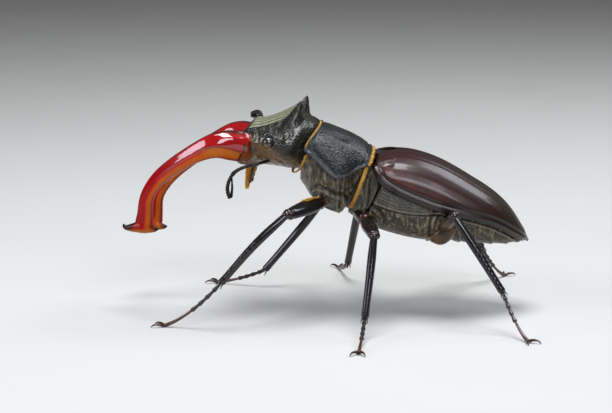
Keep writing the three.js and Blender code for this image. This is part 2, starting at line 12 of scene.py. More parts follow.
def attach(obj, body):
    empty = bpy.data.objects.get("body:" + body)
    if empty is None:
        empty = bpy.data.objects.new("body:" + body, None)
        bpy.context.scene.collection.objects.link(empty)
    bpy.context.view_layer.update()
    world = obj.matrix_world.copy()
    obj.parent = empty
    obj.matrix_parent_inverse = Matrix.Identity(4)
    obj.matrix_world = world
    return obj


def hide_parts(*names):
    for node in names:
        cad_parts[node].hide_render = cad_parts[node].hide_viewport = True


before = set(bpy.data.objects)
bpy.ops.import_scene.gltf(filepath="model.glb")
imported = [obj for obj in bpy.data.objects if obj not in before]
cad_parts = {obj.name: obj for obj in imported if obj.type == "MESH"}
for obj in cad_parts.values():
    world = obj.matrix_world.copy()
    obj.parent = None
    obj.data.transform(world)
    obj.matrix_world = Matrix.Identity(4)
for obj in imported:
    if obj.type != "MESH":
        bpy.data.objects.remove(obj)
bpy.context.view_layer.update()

MM = 0.001
TURN = 2 * np.pi


# ------------------------------------------------------------------ numbers and lines

def lerp(a, b, share):
    """a at share 0, b at share 1."""
    return a + (b - a) * share


def smooth(x, start, end):
    """0 before start, 1 past end, the cubic 3s^2 - 2s^3 between."""
    s = np.clip((x - start) / (end - start), 0, 1)
    return s * s * (3 - 2 * s)


def bell(x, centre, width):
    """exp(-((x - centre) / width)^2)."""
    return np.exp(-(((x - centre) / width) ** 2))


def through(*pairs):
    """Smooth line through (x, value) pairs: a cubic on each span, its slope at a pair that of the straight line
    between the two neighbours."""
    xs, vs = np.array(pairs, float).T
    slopes = np.empty_like(vs)
    slopes[1:-1] = (vs[2:] - vs[:-2]) / (xs[2:] - xs[:-2])
    slopes[0] = (vs[1] - vs[0]) / (xs[1] - xs[0])
    slopes[-1] = (vs[-1] - vs[-2]) / (xs[-1] - xs[-2])

    def value(x):
        x = np.clip(x, xs[0], xs[-1])
        i = np.clip(np.searchsorted(xs, x, side="right") - 1, 0, len(xs) - 2)
        width = xs[i + 1] - xs[i]
        u = (x - xs[i]) / width
        ends = (1 + 2 * u) * (1 - u) ** 2 * vs[i] + u * u * (3 - 2 * u) * vs[i + 1]
        return ends + width * (u * (1 - u) ** 2 * slopes[i] - u * u * (1 - u) * slopes[i + 1])

    return value


def unit(vectors):
    """Each vector over its own length."""
    return vectors / np.maximum(np.linalg.norm(vectors, axis=-1, keepdims=True), 1e-12)


def crowded(start, end, count):
    """Stations from start to end that stand closer together towards both ends, by a cosine."""
    return lerp(start, end, (1 - np.cos(np.linspace(0, np.pi, count))) / 2)


def stations(*spans):
    """A column of stations along spans (start, end, count) that meet end to end."""
    runs = [np.linspace(*span) for span in spans]
    return np.concatenate([run[:-1] for run in runs[:-1]] + runs[-1:])[:, None]


def around(sides):
    """A row of angles once round."""
    return np.linspace(0, TURN, sides, endpoint=False)[None, :]


def rounded(u, start, end):
    """Quarter-ellipse rounding of a tube's ends over the shares start and end of its length."""
    first = np.sqrt(np.clip(1 - ((start - np.minimum(u, start)) / start) ** 2, 1e-6, 1))
    last = np.sqrt(np.clip(1 - ((np.maximum(u, 1 - end) - 1 + end) / end) ** 2, 1e-6, 1))
    return first * last


class Path:
    """Smooth line through a few points, of centripetal Catmull-Rom spans, read by share of its length."""

    def __init__(self, *points):
        p = np.array(points, float)
        p = np.vstack([2 * p[0] - p[1], p, 2 * p[-1] - p[-2]])
        gap = np.linalg.norm(np.diff(p, axis=0), axis=1)[:, None] ** 0.5
        spans = len(p) - 3
        u = np.linspace(0, spans, 80 * spans + 1)
        i = np.minimum(u.astype(int), spans - 1)
        u = (u - i)[:, None]
        before, here, there, after = (p[i + k] for k in range(4))
        g0, g1, g2 = (gap[i + k] for k in range(3))
        leave = ((here - before) / g0 - (there - before) / (g0 + g1) + (there - here) / g1) * g1
        arrive = ((there - here) / g1 - (after - here) / (g1 + g2) + (after - there) / g2) * g1
        ends = (1 + 2 * u) * (1 - u) ** 2 * here + u * u * (3 - 2 * u) * there
        self.line = ends + u * (1 - u) ** 2 * leave - u * u * (1 - u) * arrive
        run = np.r_[0, np.cumsum(np.linalg.norm(np.diff(self.line, axis=0), axis=1))]
        self.length = run[-1]
        self.share = run / run[-1]

    def at(self, u):
        """Points at shares u of the length."""
        return np.stack([np.interp(u, self.share, self.line[:, k]) for k in range(3)], -1)

    def heading(self, u):
        """Unit directions at shares u, taken over a hundredth of the length to either side."""
        return unit(self.at(np.minimum(u + 0.01, 1)) - self.at(np.maximum(u - 0.01, 0)))


# ------------------------------------------------------------------ frames

def turn_about(axis, degrees):
    """4x4 turn about axis 0, 1 or 2."""
    c, s = np.cos(np.radians(degrees)), np.sin(np.radians(degrees))
    a, b = [(1, 2), (2, 0), (0, 1)][axis]
    m = np.eye(4)
    m[a, a] = m[b, b] = c
    m[a, b], m[b, a] = -s, s
    return m


def shift(x, y, z):
    """4x4 move."""
    m = np.eye(4)
    m[:3, 3] = x, y, z
    return m


# The trunk slopes down to the tail; the head turns a little to the beetle's right and rolls, about its neck.
TRUNK_AT, TRUNK_SLOPE = (8.3, 0, 29.2), 25
NECK_AT, HEAD_TURN, HEAD_ROLL = np.array([-10.5, 0, -5]), -9, 2.2
TRUNK = shift(*TRUNK_AT) @ turn_about(1, TRUNK_SLOPE)
HEAD = TRUNK @ shift(*NECK_AT) @ turn_about(2, HEAD_TURN) @ turn_about(0, HEAD_ROLL) @ shift(*-NECK_AT)


def placed(points, place):
    """Points moved by a 4x4 matrix."""
    return points @ place[:3, :3].T + place[:3, 3]


# ------------------------------------------------------------------ surfaces

class Surface:
    """Points (mm), faces (three or four corners, the fourth -1 in a triangle), each point's place in
    its own frame (lay), three shares from 0 to 1 that its finish reads (marks), and the bake map of hair."""

    def __init__(self, points, faces, lay=None, marks=None, bake=None):
        self.points, self.faces, self.bake = points, faces, bake
        self.lay = points.copy() if lay is None else lay
        self.marks = np.zeros_like(points) if marks is None else marks

    def turned_out(self):
        """The same surface with its faces outward: the signed volume of its fans is positive."""
        a, b, c, d = self.faces.T
        p = self.points
        six = np.einsum("ij,ij->i", p[a], np.cross(p[b], p[c]))
        more = np.einsum("ij,ij->i", p[a], np.cross(p[c], p[np.maximum(d, 0)]))
        if six.sum() + more[d >= 0].sum() < 0:
            three = d < 0
            self.faces = self.faces[:, [3, 2, 1, 0]].copy()
            self.faces[three] = np.stack([c, b, a, d], -1)[three]
        return self

    def on(self, points):
        """The same surface on other points."""
        return Surface(points, self.faces, self.lay, self.marks, self.bake).turned_out()

    def moved(self, place):
        return self.on(placed(self.points, place))

    def mirrored(self):
        """Its image on the other side of the middle plane."""
        return self.on(self.points * [1, -1, 1])


def grid_faces(rows, columns, wrap):
    """Faces between a grid's rows, joined round to the first column where it wraps."""
    index = np.arange(rows * columns).reshape(rows, columns)
    nxt = np.roll(index, -1, axis=1)
    if not wrap:
        index, nxt = index[:, :-1], nxt[:, :-1]
    return np.stack([index[:-1], nxt[:-1], nxt[1:], index[1:]], -1).reshape(-1, 4)


def closed(rings, lay=None, marks=None):
    """Closed surface over rings (ring, corner, xyz), each end closed by a fan to its middle."""
    r, n = rings.shape[:2]
    index = np.arange(r * n).reshape(r, n)
    fans = []
    for hub, ring, back in ((r * n, index[0], False), (r * n + 1, index[-1], True)):
        first, second = np.roll(ring, -1), ring
        if back:
            first, second = second, first
        fans.append(np.stack([np.full(n, hub), first, second, np.full(n, -1)], -1))
    faces = np.vstack([grid_faces(r, n, True), *fans])

    def with_hubs(values):
        return np.vstack([values.reshape(-1, 3), values[[0, -1]].mean(axis=1)])

    return Surface(
        with_hubs(rings), faces,
        with_hubs(rings if lay is None else lay),
        with_hubs(np.zeros_like(rings) if marks is None else marks),
    ).turned_out()


def grid_normals(grid, wrap=False):
    """Unit normals of a grid by crossing its two differences, turned away from the grid's middle."""
    if wrap:
        around = np.roll(grid, -1, axis=1) - np.roll(grid, 1, axis=1)
    else:
        around = np.gradient(grid, axis=1)
    normals = unit(np.cross(np.gradient(grid, axis=0), around))
    outward = np.einsum("ijk,ijk->ij", normals, grid - grid.mean(axis=(0, 1))).mean()
    return normals if outward > 0 else -normals


def raised(grid, height, wrap=False):
    """The grid with each point moved by height along its normal."""
    return grid + grid_normals(grid, wrap) * height[..., None]


def run_across(grid):
    """Distance of each point of a grid from the start of its row."""
    step = np.linalg.norm(np.diff(grid, axis=1), axis=2)
    return np.hstack([np.zeros((len(grid), 1)), np.cumsum(step, axis=1)])


# The sine of a lattice corner times these, times the gain, has a fraction without a pattern.
SCATTER = np.array([[12.99, 269.5, 113.5], [78.23, 183.3, 271.9], [37.72, 246.1, 124.6]])
SCATTER_GAIN = 43758.5453


def grains_over(points, size):
    """Height from 0 to 1 of rounded grains scattered over points: one grain is dropped at random in each cube of a
    lattice of the given size, and the height falls smoothly with the distance to the nearest one."""
    cube = np.floor(points / size)
    nearest = np.full(points.shape[:-1], 9.0)
    for step in np.ndindex(3, 3, 3):
        corner = cube + np.array(step) - 1
        seeds = np.sin(corner @ SCATTER) * SCATTER_GAIN
        drop = corner + 0.15 + 0.7 * (seeds - np.floor(seeds))
        nearest = np.minimum(nearest, np.linalg.norm(points / size - drop, axis=-1))
    return 1 - smooth(nearest, 0.05, 0.55)


def shell(grid, thickness, marks=None):
    """Closed plate: the grid is its outer face, its inner face lies a thickness below, and strips join them."""
    rows, columns = grid.shape[:2]
    marks = np.zeros_like(grid) if marks is None else marks
    inner = grid - grid_normals(grid) * thickness
    count = rows * columns
    index = np.arange(count).reshape(rows, columns)
    over = grid_faces(rows, columns, False)
    rim = np.concatenate([index[0], index[1:, -1], index[-1, -2::-1], index[-2:0:-1, 0]])
    nxt = np.roll(rim, -1)
    strips = np.stack([nxt, rim, rim + count, nxt + count], -1)
    points = np.vstack([grid.reshape(-1, 3), inner.reshape(-1, 3)])
    faces = np.vstack([over, over[:, ::-1] + count, strips])
    twice = [np.vstack([v.reshape(-1, 3)] * 2) for v in (grid, marks)]
    return Surface(points, faces, *twice).turned_out()


def tube_rings(path, shares, across, level, sides, plane):
    """Rings round a path: centre + across(u) cos(a) side + level(u) sin(a) up, where side is heading x plane and up
    is side x heading, and a runs once round."""
    heading = path.heading(shares)
    side = unit(np.cross(heading, plane))
    up = np.cross(side, heading)
    a = around(sides)[..., None]
    wide, tall = (np.broadcast_to(h, shares.shape)[:, None, None] for h in (across, level))
    return path.at(shares)[:, None] + wide * np.cos(a) * side[:, None] + tall * np.sin(a) * up[:, None]


def tube(path, half, sides=20, count=24, plane=(0, 0, 1), ends=(0.08, 0.08), marks=(0, 0, 0), scale=None):
    """Closed tube with rounded ends; half(u) gives its half-sizes across and level with the plane's normal. Where
    there is a scale(v, a), it scales each ring about the path at share v and angle a. A mark is a number or a
    line of v."""
    u = crowded(0, 1, count)
    v = u[:, None]
    across, level = half(u)
    cap = rounded(u, *ends)
    rings = tube_rings(path, u, across * cap, level * cap, sides, plane)
    if scale:
        centre = path.at(u)[:, None]
        rings = centre + (rings - centre) * scale(v, around(sides))[..., None]
    return closed(rings, None, np.stack([(m(v) if callable(m) else m) + 0 * rings[..., 0] for m in marks], -1))


def ball(centre, radii, marks=(0, 0, 0), rows=28, sides=36):
    """Ellipsoid: centre + radii (cos a sin b, sin a sin b, cos b)."""
    b = np.linspace(0.001, np.pi - 0.001, rows)[:, None]
    a = around(sides)
    rings = np.stack([np.cos(a) * np.sin(b), np.sin(a) * np.sin(b), np.cos(b) + 0 * a], -1)
    rings = rings * np.array(radii) + np.array(centre)
    return closed(rings, None, np.array(marks) + 0 * rings)


def fused(surfaces, cell, rounds):
    """One skin round overlapping closed surfaces: remeshed on cells of the given size, then each point is moved
    half-way to the mean of its neighbours for a few rounds, which fills the corners between them."""
    obj = mesh_object("fusing", surfaces)
    remesh = obj.modifiers.new("cells", "REMESH")
    remesh.mode = "VOXEL"
    remesh.voxel_size = cell * MM
    soften = obj.modifiers.new("soften", "SMOOTH")
    soften.factor = 0.5
    soften.iterations = rounds
    bpy.context.view_layer.update()
    whole = obj.evaluated_get(bpy.context.evaluated_depsgraph_get())
    mesh = whole.to_mesh()
    points = np.empty(3 * len(mesh.vertices))
    mesh.vertices.foreach_get("co", points)
    corners = np.empty(len(mesh.loops), int)
    mesh.loops.foreach_get("vertex_index", corners)
    sizes = np.empty(len(mesh.polygons), int)
    mesh.polygons.foreach_get("loop_total", sizes)
    faces = np.full((len(sizes), 4), -1)
    faces[np.arange(4)[None, :] < sizes[:, None]] = corners
    whole.to_mesh_clear()
    old = obj.data
    bpy.data.objects.remove(obj)
    bpy.data.meshes.remove(old)
    return Surface(points.reshape(-1, 3) / MM, faces).turned_out()


def mesh_object(name, surfaces):
    """One smooth-shaded mesh of several surfaces, with their lay and marks as vectors on its points."""
    counts = np.cumsum([0] + [len(s.points) for s in surfaces])
    faces = np.vstack([np.where(s.faces >= 0, s.faces + k, -1) for s, k in zip(surfaces, counts)])
    mesh = bpy.data.meshes.new(name)
    mesh.vertices.add(int(counts[-1]))
    mesh.vertices.foreach_set("co", (np.vstack([s.points for s in surfaces]) * MM).ravel())
    corners = faces[faces >= 0]
    sizes = (faces >= 0).sum(axis=1)
    mesh.loops.add(len(corners))
    mesh.loops.foreach_set("vertex_index", corners)
    mesh.polygons.add(len(faces))
    mesh.polygons.foreach_set("loop_start", np.r_[0, np.cumsum(sizes)[:-1]])
    mesh.polygons.foreach_set("use_smooth", np.ones(len(faces), bool))
    for label in ("lay", "marks"):
        values = np.vstack([getattr(s, label) for s in surfaces]).ravel()
        mesh.attributes.new(label, "FLOAT_VECTOR", "POINT").data.foreach_set("vector", values)
    mesh.update(calc_edges=True)
    mesh.validate()
    obj = bpy.data.objects.new(name, mesh)
    bpy.context.scene.collection.objects.link(obj)
    return obj


def add_piece(name, surfaces, finish, nodes=(), crease=None):
    """A piece of the beetle on its body, in place of the CAD nodes named; edges sharper than crease (degrees)
    stay so."""
    obj = mesh_object(name, surfaces)
    if crease:
        obj.data.set_sharp_from_angle(angle=np.radians(crease))
    obj.data.materials.append(finish)
    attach(obj, "root")
    if nodes:
        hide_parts(*nodes)
    return obj


# ------------------------------------------------------------------ finishes

class Reading:
    """A number that varies over a surface; arithmetic with it adds Math nodes."""

    def __init__(self, finish, socket):
        self.finish, self.socket = finish, socket

    def _maths(self, operation, *values):
        return self.finish.reading("ShaderNodeMath", {"operation": operation}, dict(enumerate(values)))

    def __add__(self, other):
        return self._maths("ADD", self, other)

    def __sub__(self, other):
        return self._maths("SUBTRACT", self, other)

    def __rsub__(self, other):
        return self._maths("SUBTRACT", other, self)

    def __mul__(self, other):
        return self._maths("MULTIPLY", self, other)

    __radd__ = __add__
    __rmul__ = __mul__

    def between(self, start, end):
        """0 before start, 1 past end, smooth between."""
        return self.finish.reading(
            "ShaderNodeMapRange", {"interpolation_type": "SMOOTHSTEP"},
            {"Value": self, "From Min": start, "From Max": end})

    def wave(self, length):
        """Sine of this number, once per length."""
        return self._maths("SINE", self * (TURN / length))

    def peak(self, centre, width):
        """Smooth ridge of height 1 at centre, gone at width to either side."""
        return 1 - self._maths("ABSOLUTE", self - centre).between(0.0, width)


class Finish:
    """A material round one Principled shader. Names of its inputs are written with _ for a space."""

    def __init__(self, name, **constants):
        self.material = bpy.data.materials.new(name)
        self.material.use_nodes = True
        self.tree = self.material.node_tree
        self.shader = self.tree.nodes["Principled BSDF"]
        self.feed(self.shader, constants)

    def feed(self, node, inputs):
        """Sets inputs of a node to numbers, or links them to readings and sockets."""
        for label, value in inputs.items():
            socket = node.inputs[label.replace("_", " ") if isinstance(label, str) else label]
            value = value.socket if isinstance(value, Reading) else value
            if isinstance(value, bpy.types.NodeSocket):
                self.tree.links.new(value, socket)
            else:
                socket.default_value = value

    def node(self, kind, settings=None, inputs=None):
        """A node of a kind: its settings first, then its inputs."""
        made = self.tree.nodes.new(kind)
        for label, value in (settings or {}).items():
            setattr(made, label, value)
        self.feed(made, inputs or {})
        return made

    def reading(self, kind, settings=None, inputs=None, output=0):
        """What a node of a kind gives out, as a number to reckon with."""
        return Reading(self, self.node(kind, settings, inputs).outputs[output])

    def place(self, *sizes):
        """Object coordinates in units of three sizes in millimetres."""
        found = self.node("ShaderNodeTexCoord").outputs["Object"]
        factors = [1 / (MM * s) for s in sizes]
        return self.node("ShaderNodeVectorMath", {"operation": "MULTIPLY"}, {0: found, 1: factors}).outputs[0]

    @cached_property
    def where(self):
        """Object coordinates in millimetres."""
        return self.place(1, 1, 1)

    def parts(self, name):
        """The three numbers of one of the piece's own vectors."""
        vector = self.node("ShaderNodeAttribute", {"attribute_name": name}).outputs["Vector"]
        return [Reading(self, socket) for socket in self.node("ShaderNodeSeparateXYZ", None, {0: vector}).outputs]

    def clouds(self, scale, detail=3.0, roughness=0.55, where=None):
        """Noise from 0 to 1, scale lumps to a unit of where."""
        return self.reading("ShaderNodeTexNoise", None, {
            "Vector": where or self.where, "Scale": scale, "Detail": detail, "Roughness": roughness}, "Fac")

    def cells(self, scale):
        """Distance to the nearest of many scattered points, scale cells to a millimetre."""
        return self.reading("ShaderNodeTexVoronoi", None, {"Vector": self.where, "Scale": scale}, "Distance")

    def mixed(self, share, first, second):
        """Colour first where share is 0 and second where it is 1."""
        first, second = ((*c, 1) if isinstance(c, tuple) else c for c in (first, second))
        return self.node("ShaderNodeMix", {"data_type": "RGBA"}, {0: share, 6: first, 7: second}).outputs[2]

    def layers(self, colour, *over):
        """A colour with others laid over it in turn, each by its share."""
        for share, upper in over:
            colour = self.mixed(share, colour, upper)
        return colour

    def bump(self, height, depth, below=None):
        """Bump of height (0 to 1) times depth in millimetres, laid over the one below."""
        inputs = {"Height": height, "Distance": depth * MM, "Strength": 1.0}
        if below:
            inputs["Normal"] = below
        return self.node("ShaderNodeBump", None, inputs).outputs[0]

    def done(self, colour, roughness, **others):
        """The material, its shader fed with these."""
        self.feed(self.shader, {"Base Color": colour, "Roughness": roughness, **others})
        return self.material


def wing_case_finish():
    """Dark maroon lacquer: warmer towards the shoulder, olive-brown to the tail, with a painted olive reflection
    over the top towards the tail, near black as painted shade in the side furrow, on the turned-down rim and along
    the seam, with fine pits and faint lengthwise furrows."""
    f = Finish("wing_case_lacquer", Coat_Weight=0.3, Coat_Roughness=0.10, Specular_IOR_Level=0.38)
    x, y = f.parts("lay")[:2]
    dome, edge, seam_shade = f.parts("marks")
    drift, grain = f.clouds(0.35), f.clouds(9.0)
    tail = x.between(6.0, 30.0)
    warm = dome.peak(0.30, 0.30) * (1 - x.between(4.0, 22.0)) * drift.between(0.25, 0.75)
    # Near black for painted shade in the side furrow, on the turned-down rim and along the seam.
    shade_black = (0.006, 0.004, 0.004)
    colour = f.layers(
        f.mixed(tail, (0.026, 0.0040, 0.0050), (0.017, 0.0080, 0.0045)),
        (warm * 0.8, (0.105, 0.020, 0.006)),
        # Painted reflection: olive-brown over the top of the dome towards the tail.
        (dome.between(0.55, 1.0) * tail * 0.6, (0.024, 0.017, 0.008)),
        (edge * 0.85, shade_black),
        (seam_shade * 0.7, shade_black))
    pits = f.cells(3.1).between(0.05, 0.32)
    furrows = (y + 0.25 * f.clouds(0.5)).wave(1.25)
    normal = f.bump(pits * (0.5 + 0.5 * grain), 0.020, f.bump(furrows * 0.5 + grain * 0.35, 0.016))
    return f.done(colour, 0.24 + 0.10 * grain + 0.06 * drift, Normal=normal)


def shield_finish():
    """Charcoal shield with close fine grains, some of their tops flecked with painted glints that are stronger low
    on the sides, a painted bluish highlight along the beads, smoother on the beads and on a spot each side.
    """
    f = Finish("shield_grain", Coat_Weight=0.12, Coat_Roughness=0.15, Specular_IOR_Level=0.36)
    bead, spot, glint_side = f.parts("marks")
    drift = f.clouds(0.5)
    calm = 1 - spot * 0.85
    top = (1 - f.cells(2.9).between(0.05, 0.42)) * calm
    # Painted glints: pale flecks on some grain tops, laid on stronger low on the sides.
    painted_glint = top * f.clouds(2.6, 1.0).between(0.52, 0.66)
    colour = f.layers(
        f.mixed(drift, (0.0065, 0.0070, 0.0070), (0.015, 0.016, 0.015)),
        (painted_glint * (0.45 + 0.55 * glint_side), (0.135, 0.145, 0.150)),
        # Painted highlight: a pale bluish line along the beads.
        (bead * 0.55, (0.060, 0.072, 0.090)),
        (spot * 0.7, (0.005, 0.008, 0.009)))
    normal = f.bump(top, 0.070, f.bump(f.cells(6.5) * calm, 0.025))
    return f.done(colour, 0.24 + 0.16 * drift - 0.06 * spot - 0.05 * bead, Normal=normal)


def head_finish():
    """Granular olive-black head with painted glints on its grains: a striped forehead painted pale as a painted
    reflection, brown cheeks and throat, and the crest's side face painted dark as painted shade.
    """
    f = Finish("head_grain", Coat_Weight=0.14, Coat_Roughness=0.12, Specular_IOR_Level=0.38)
    x, y = f.parts("lay")[:2]
    forehead, cheek, crest = f.parts("marks")
    drift = f.clouds(0.55)
    stripes = (y + 0.10 * f.clouds(1.2) + 0.03 * x).wave(0.62).between(-0.9, 0.2)
    top = (1 - f.cells(2.7).between(0.05, 0.42)) * (1 - forehead)
    # Painted glints: pale flecks on some grain tops.
    painted_glint = top * f.clouds(2.4, 1.0).between(0.50, 0.66)
    colour = f.layers(
        f.mixed(drift, (0.0075, 0.0072, 0.0055), (0.020, 0.018, 0.012)),
        (cheek * drift.between(0.1, 0.65), (0.130, 0.066, 0.018)),
        (painted_glint * 0.55, (0.150, 0.155, 0.140)),
        # Painted reflection: the forehead painted pale in stripes.
        (forehead * 0.92, f.mixed(stripes, (0.045, 0.046, 0.026), (0.235, 0.240, 0.150))),
        # Painted shade: the crest's side face darkened.
        (crest * 0.6, (0.012, 0.013, 0.007)))
    normal = f.bump(top, 0.05, f.bump(f.cells(6.0) * 0.6 + stripes * forehead * 0.6, 0.03))
    return f.done(colour, 0.20 + 0.14 * drift + 0.22 * forehead, Normal=normal)


def horn_finish():
    """Polished mandible: crimson above, an amber band below the middle, dark contour lines, dark tips. Its lay
    holds three more marks: the pale rim of the tip, the ledge, painted near black as painted shade along its step,
    and the hollow under it."""
    f = Finish("mandible_horn", Coat_IOR=1.7, Coat_Roughness=0.05, Specular_IOR_Level=0.15)
    share, low, tip = f.parts("marks")
    rim, ledge, hollow = f.parts("lay")
    drift, grain = f.clouds(0.45), f.clouds(6.0)
    line = low + 0.06 * (drift - 0.5) - 0.03
    band = line.between(0.55, 0.64) * (1 - line.between(0.76, 0.88))
    base = (1 - share.between(0.075, 0.090)) * low.between(0.30, 0.45)
    joint = share.peak(0.082, 0.010) * low.between(0.30, 0.42)
    colour = f.layers(
        f.mixed(drift, (0.22, 0.0012, 0.0030), (0.42, 0.0022, 0.0050)),
        (line.peak(0.57, 0.09) * 0.8, (0.62, 0.025, 0.004)),
        (band * (0.80 + 0.20 * drift), f.mixed(grain, (0.47, 0.082, 0.002), (0.64, 0.140, 0.004))),
        (line.between(0.80, 0.95), (0.17, 0.010, 0.004)),
        (hollow * 0.9, (0.52, 0.125, 0.006)),
        (base * 0.85, f.mixed(drift, (0.22, 0.050, 0.008), (0.075, 0.022, 0.007))),
        (share.between(0.70, 0.98) * 0.30, (0.20, 0.012, 0.003)),
        ((1 - line.between(0.02, 0.13)) * 0.9, (0.010, 0.003, 0.003)),
        (line.between(0.95, 1.0) * 0.85, (0.016, 0.005, 0.003)),
        # Painted shade: near black along the step under the ledge.
        (ledge * 0.95, (0.008, 0.004, 0.003)),
        (joint * 0.85, (0.010, 0.004, 0.003)),
        (rim * 0.85, (0.42, 0.13, 0.010)),
        (tip, (0.014, 0.006, 0.004)))
    normal = f.bump(f.cells(2.6).between(0.03, 0.16), 0.008, f.bump(grain, 0.006))
    gloss = (1 - low.between(0.50, 0.60)) * (1 - share.between(0.50, 0.68)) * 0.9 + 0.04
    return f.done(colour, 0.16 + 0.10 * grain, Normal=normal, Coat_Weight=gloss)


def eye_finish():
    """Dark brown eye of fine facets, amber below."""
    f = Finish("eye_facets", Coat_Weight=0.9, Coat_Roughness=0.06, Specular_IOR_Level=0.6)
    low = f.parts("marks")[0]
    facets = f.cells(9.5)
    colour = f.layers(
        (0.010, 0.006, 0.005),
        (low * (0.6 + 0.4 * f.clouds(1.2)), (0.22, 0.080, 0.012)),
        (facets.between(0.28, 0.6) * 0.6, (0.010, 0.005, 0.003)))
    return f.done(colour, 0.14 + 0.1 * facets, Normal=f.bump(1 - facets, 0.02))


def leg_finish(name="leg_lacquer", base=(0.004, 0.004, 0.006), warm=(0.010, 0.007, 0.007), coat=0.42):
    """Black lacquer under a clear coat of the weight given, with scattered pits, worn a little browner at the
    joints (first mark)."""
    f = Finish(name, Coat_Weight=coat, Coat_IOR=1.85, Coat_Roughness=0.08, Specular_IOR_Level=0.15)
    joint = f.parts("marks")[0]
    drift, grain = f.clouds(0.6), f.clouds(8.0)
    colour = f.layers(f.mixed(drift, base, warm), (joint * (0.55 + 0.45 * drift), (0.125, 0.038, 0.016)))
    normal = f.bump(f.cells(2.4).between(0.04, 0.26), 0.022, f.bump(grain, 0.012))
    return f.done(colour, 0.20 + 0.14 * grain, Normal=normal)


def belly_finish():
    """Brown-grey underside plates: fine wrinkles and pits, with painted shade in the seams, the pits and the
    grooves between ribs, and painted highlights on the ribs and on the crests of beads, ridges and collars.
    """
    f = Finish("belly_plates", Coat_Weight=0.08, Coat_Roughness=0.2, Specular_IOR_Level=0.38)
    x, _, z = f.parts("lay")
    seam_shade, rim, ribbed = f.parts("marks")
    drift, grain = f.clouds(0.55, 4.0), f.clouds(5.5)
    ribs = (z + 0.16 * f.clouds(0.9) + 0.05 * x).wave(0.40)
    pits = f.cells(3.6).between(0.05, 0.42)
    streaks = f.clouds(1.0, 4.0, 0.65, f.place(0.55, 0.55, 1.9))
    colour = f.layers(
        f.mixed(drift.between(0.25, 0.8), (0.024, 0.019, 0.011), (0.080, 0.061, 0.034)),
        (streaks.between(0.50, 0.62) * 0.8, (0.250, 0.200, 0.125)),
        ((1 - streaks.between(0.36, 0.46)) * 0.8, (0.012, 0.009, 0.006)),
        # Painted light and shade: ribs pale on their crests and dark in their grooves.
        (ribbed * 0.75, f.mixed(ribs.between(-0.6, 0.8), (0.016, 0.016, 0.011), (0.085, 0.082, 0.055))),
        # Painted shade in the pits.
        ((1 - pits) * 0.6, (0.009, 0.007, 0.005)),
        # Painted shade in the seams and grooves.
        (seam_shade * 0.9, (0.006, 0.005, 0.004)),
        # Painted highlight on the crests of beads, ridges and collars.
        (rim * 0.6, (0.22, 0.19, 0.135)))
    normal = f.bump(pits, 0.035, f.bump(ribs * ribbed * 0.5 + grain + streaks, 0.035))
    return f.done(colour, 0.30 + 0.20 * grain, Normal=normal)


def hip_finish():
    """Reddish-brown hips and trochanters, darker towards their rims."""
    f = Finish("hip_horn", Coat_Weight=0.2, Coat_Roughness=0.15, Specular_IOR_Level=0.35)
    dark = f.parts("marks")[0]
    drift, grain = f.clouds(0.6), f.clouds(5.0)
    colour = f.layers(
        f.mixed(drift.between(0.2, 0.7), (0.020, 0.010, 0.004), (0.100, 0.044, 0.008)),
        (dark * 0.9, (0.012, 0.009, 0.008)))
    normal = f.bump(f.cells(2.8).between(0.04, 0.35), 0.025, f.bump(grain, 0.015))
    return f.done(colour, 0.25 + 0.15 * grain, Normal=normal)


def hair_finish(name, root, end, roughness=0.45):
    """Hairs darker at the root than at the end, each of its own shade."""
    f = Finish(name, Specular_IOR_Level=0.5)
    along, shade = f.parts("marks")[:2]
    colour = f.layers(root, (along.between(0.0, 0.7), end), (shade * 0.55, tuple(0.45 * c for c in end)))
    return f.done(colour, roughness + 0.15 * shade)


def floor_finish():
    """Pale matt paper, very slightly uneven."""
    f = Finish("floor_paper", Specular_IOR_Level=0.2)
    return f.done(f.mixed(f.clouds(0.02, 2.0), (0.53, 0.525, 0.505), (0.565, 0.56, 0.54)), 0.9)


# ------------------------------------------------------------------ wing cases and scutellum

ELYTRA_START, ELYTRA_END, ELYTRON_RIM, SEAM_GAP = 0.7, 32.1, 0.7, 0.3

elytra_width = through((0.7, 7.3), (3, 8.9), (8, 9.6), (16, 9.5), (22, 8.5), (27, 6.3), (30.4, 3.5), (32.1, 0.8))
elytra_crown = through((0.7, -0.6), (3, 1.1), (7, 2.6), (12, 3.1), (18, 2.6), (23, 1.85), (26.5, 0.6),
                       (30.5, -1.9), (32.1, -3.3))
elytra_edge = through((0.7, -2.2), (4, -3.9), (12, -3.9), (18, -3.1), (24, -2.3), (29, -2.8), (32.1, -3.5))


def rim_depth(x):
    """Depth of the side rim that a wing case turns down, less at the tail."""
    return ELYTRON_RIM * (1 - 0.75 * smooth(x, 29.0, ELYTRA_END))


def scutellum_half(x):
    """Half-width of the scutellum."""
    return 2.3 * np.maximum(1 - np.maximum(x - 0.2, 0) / 4.2, 0.1)


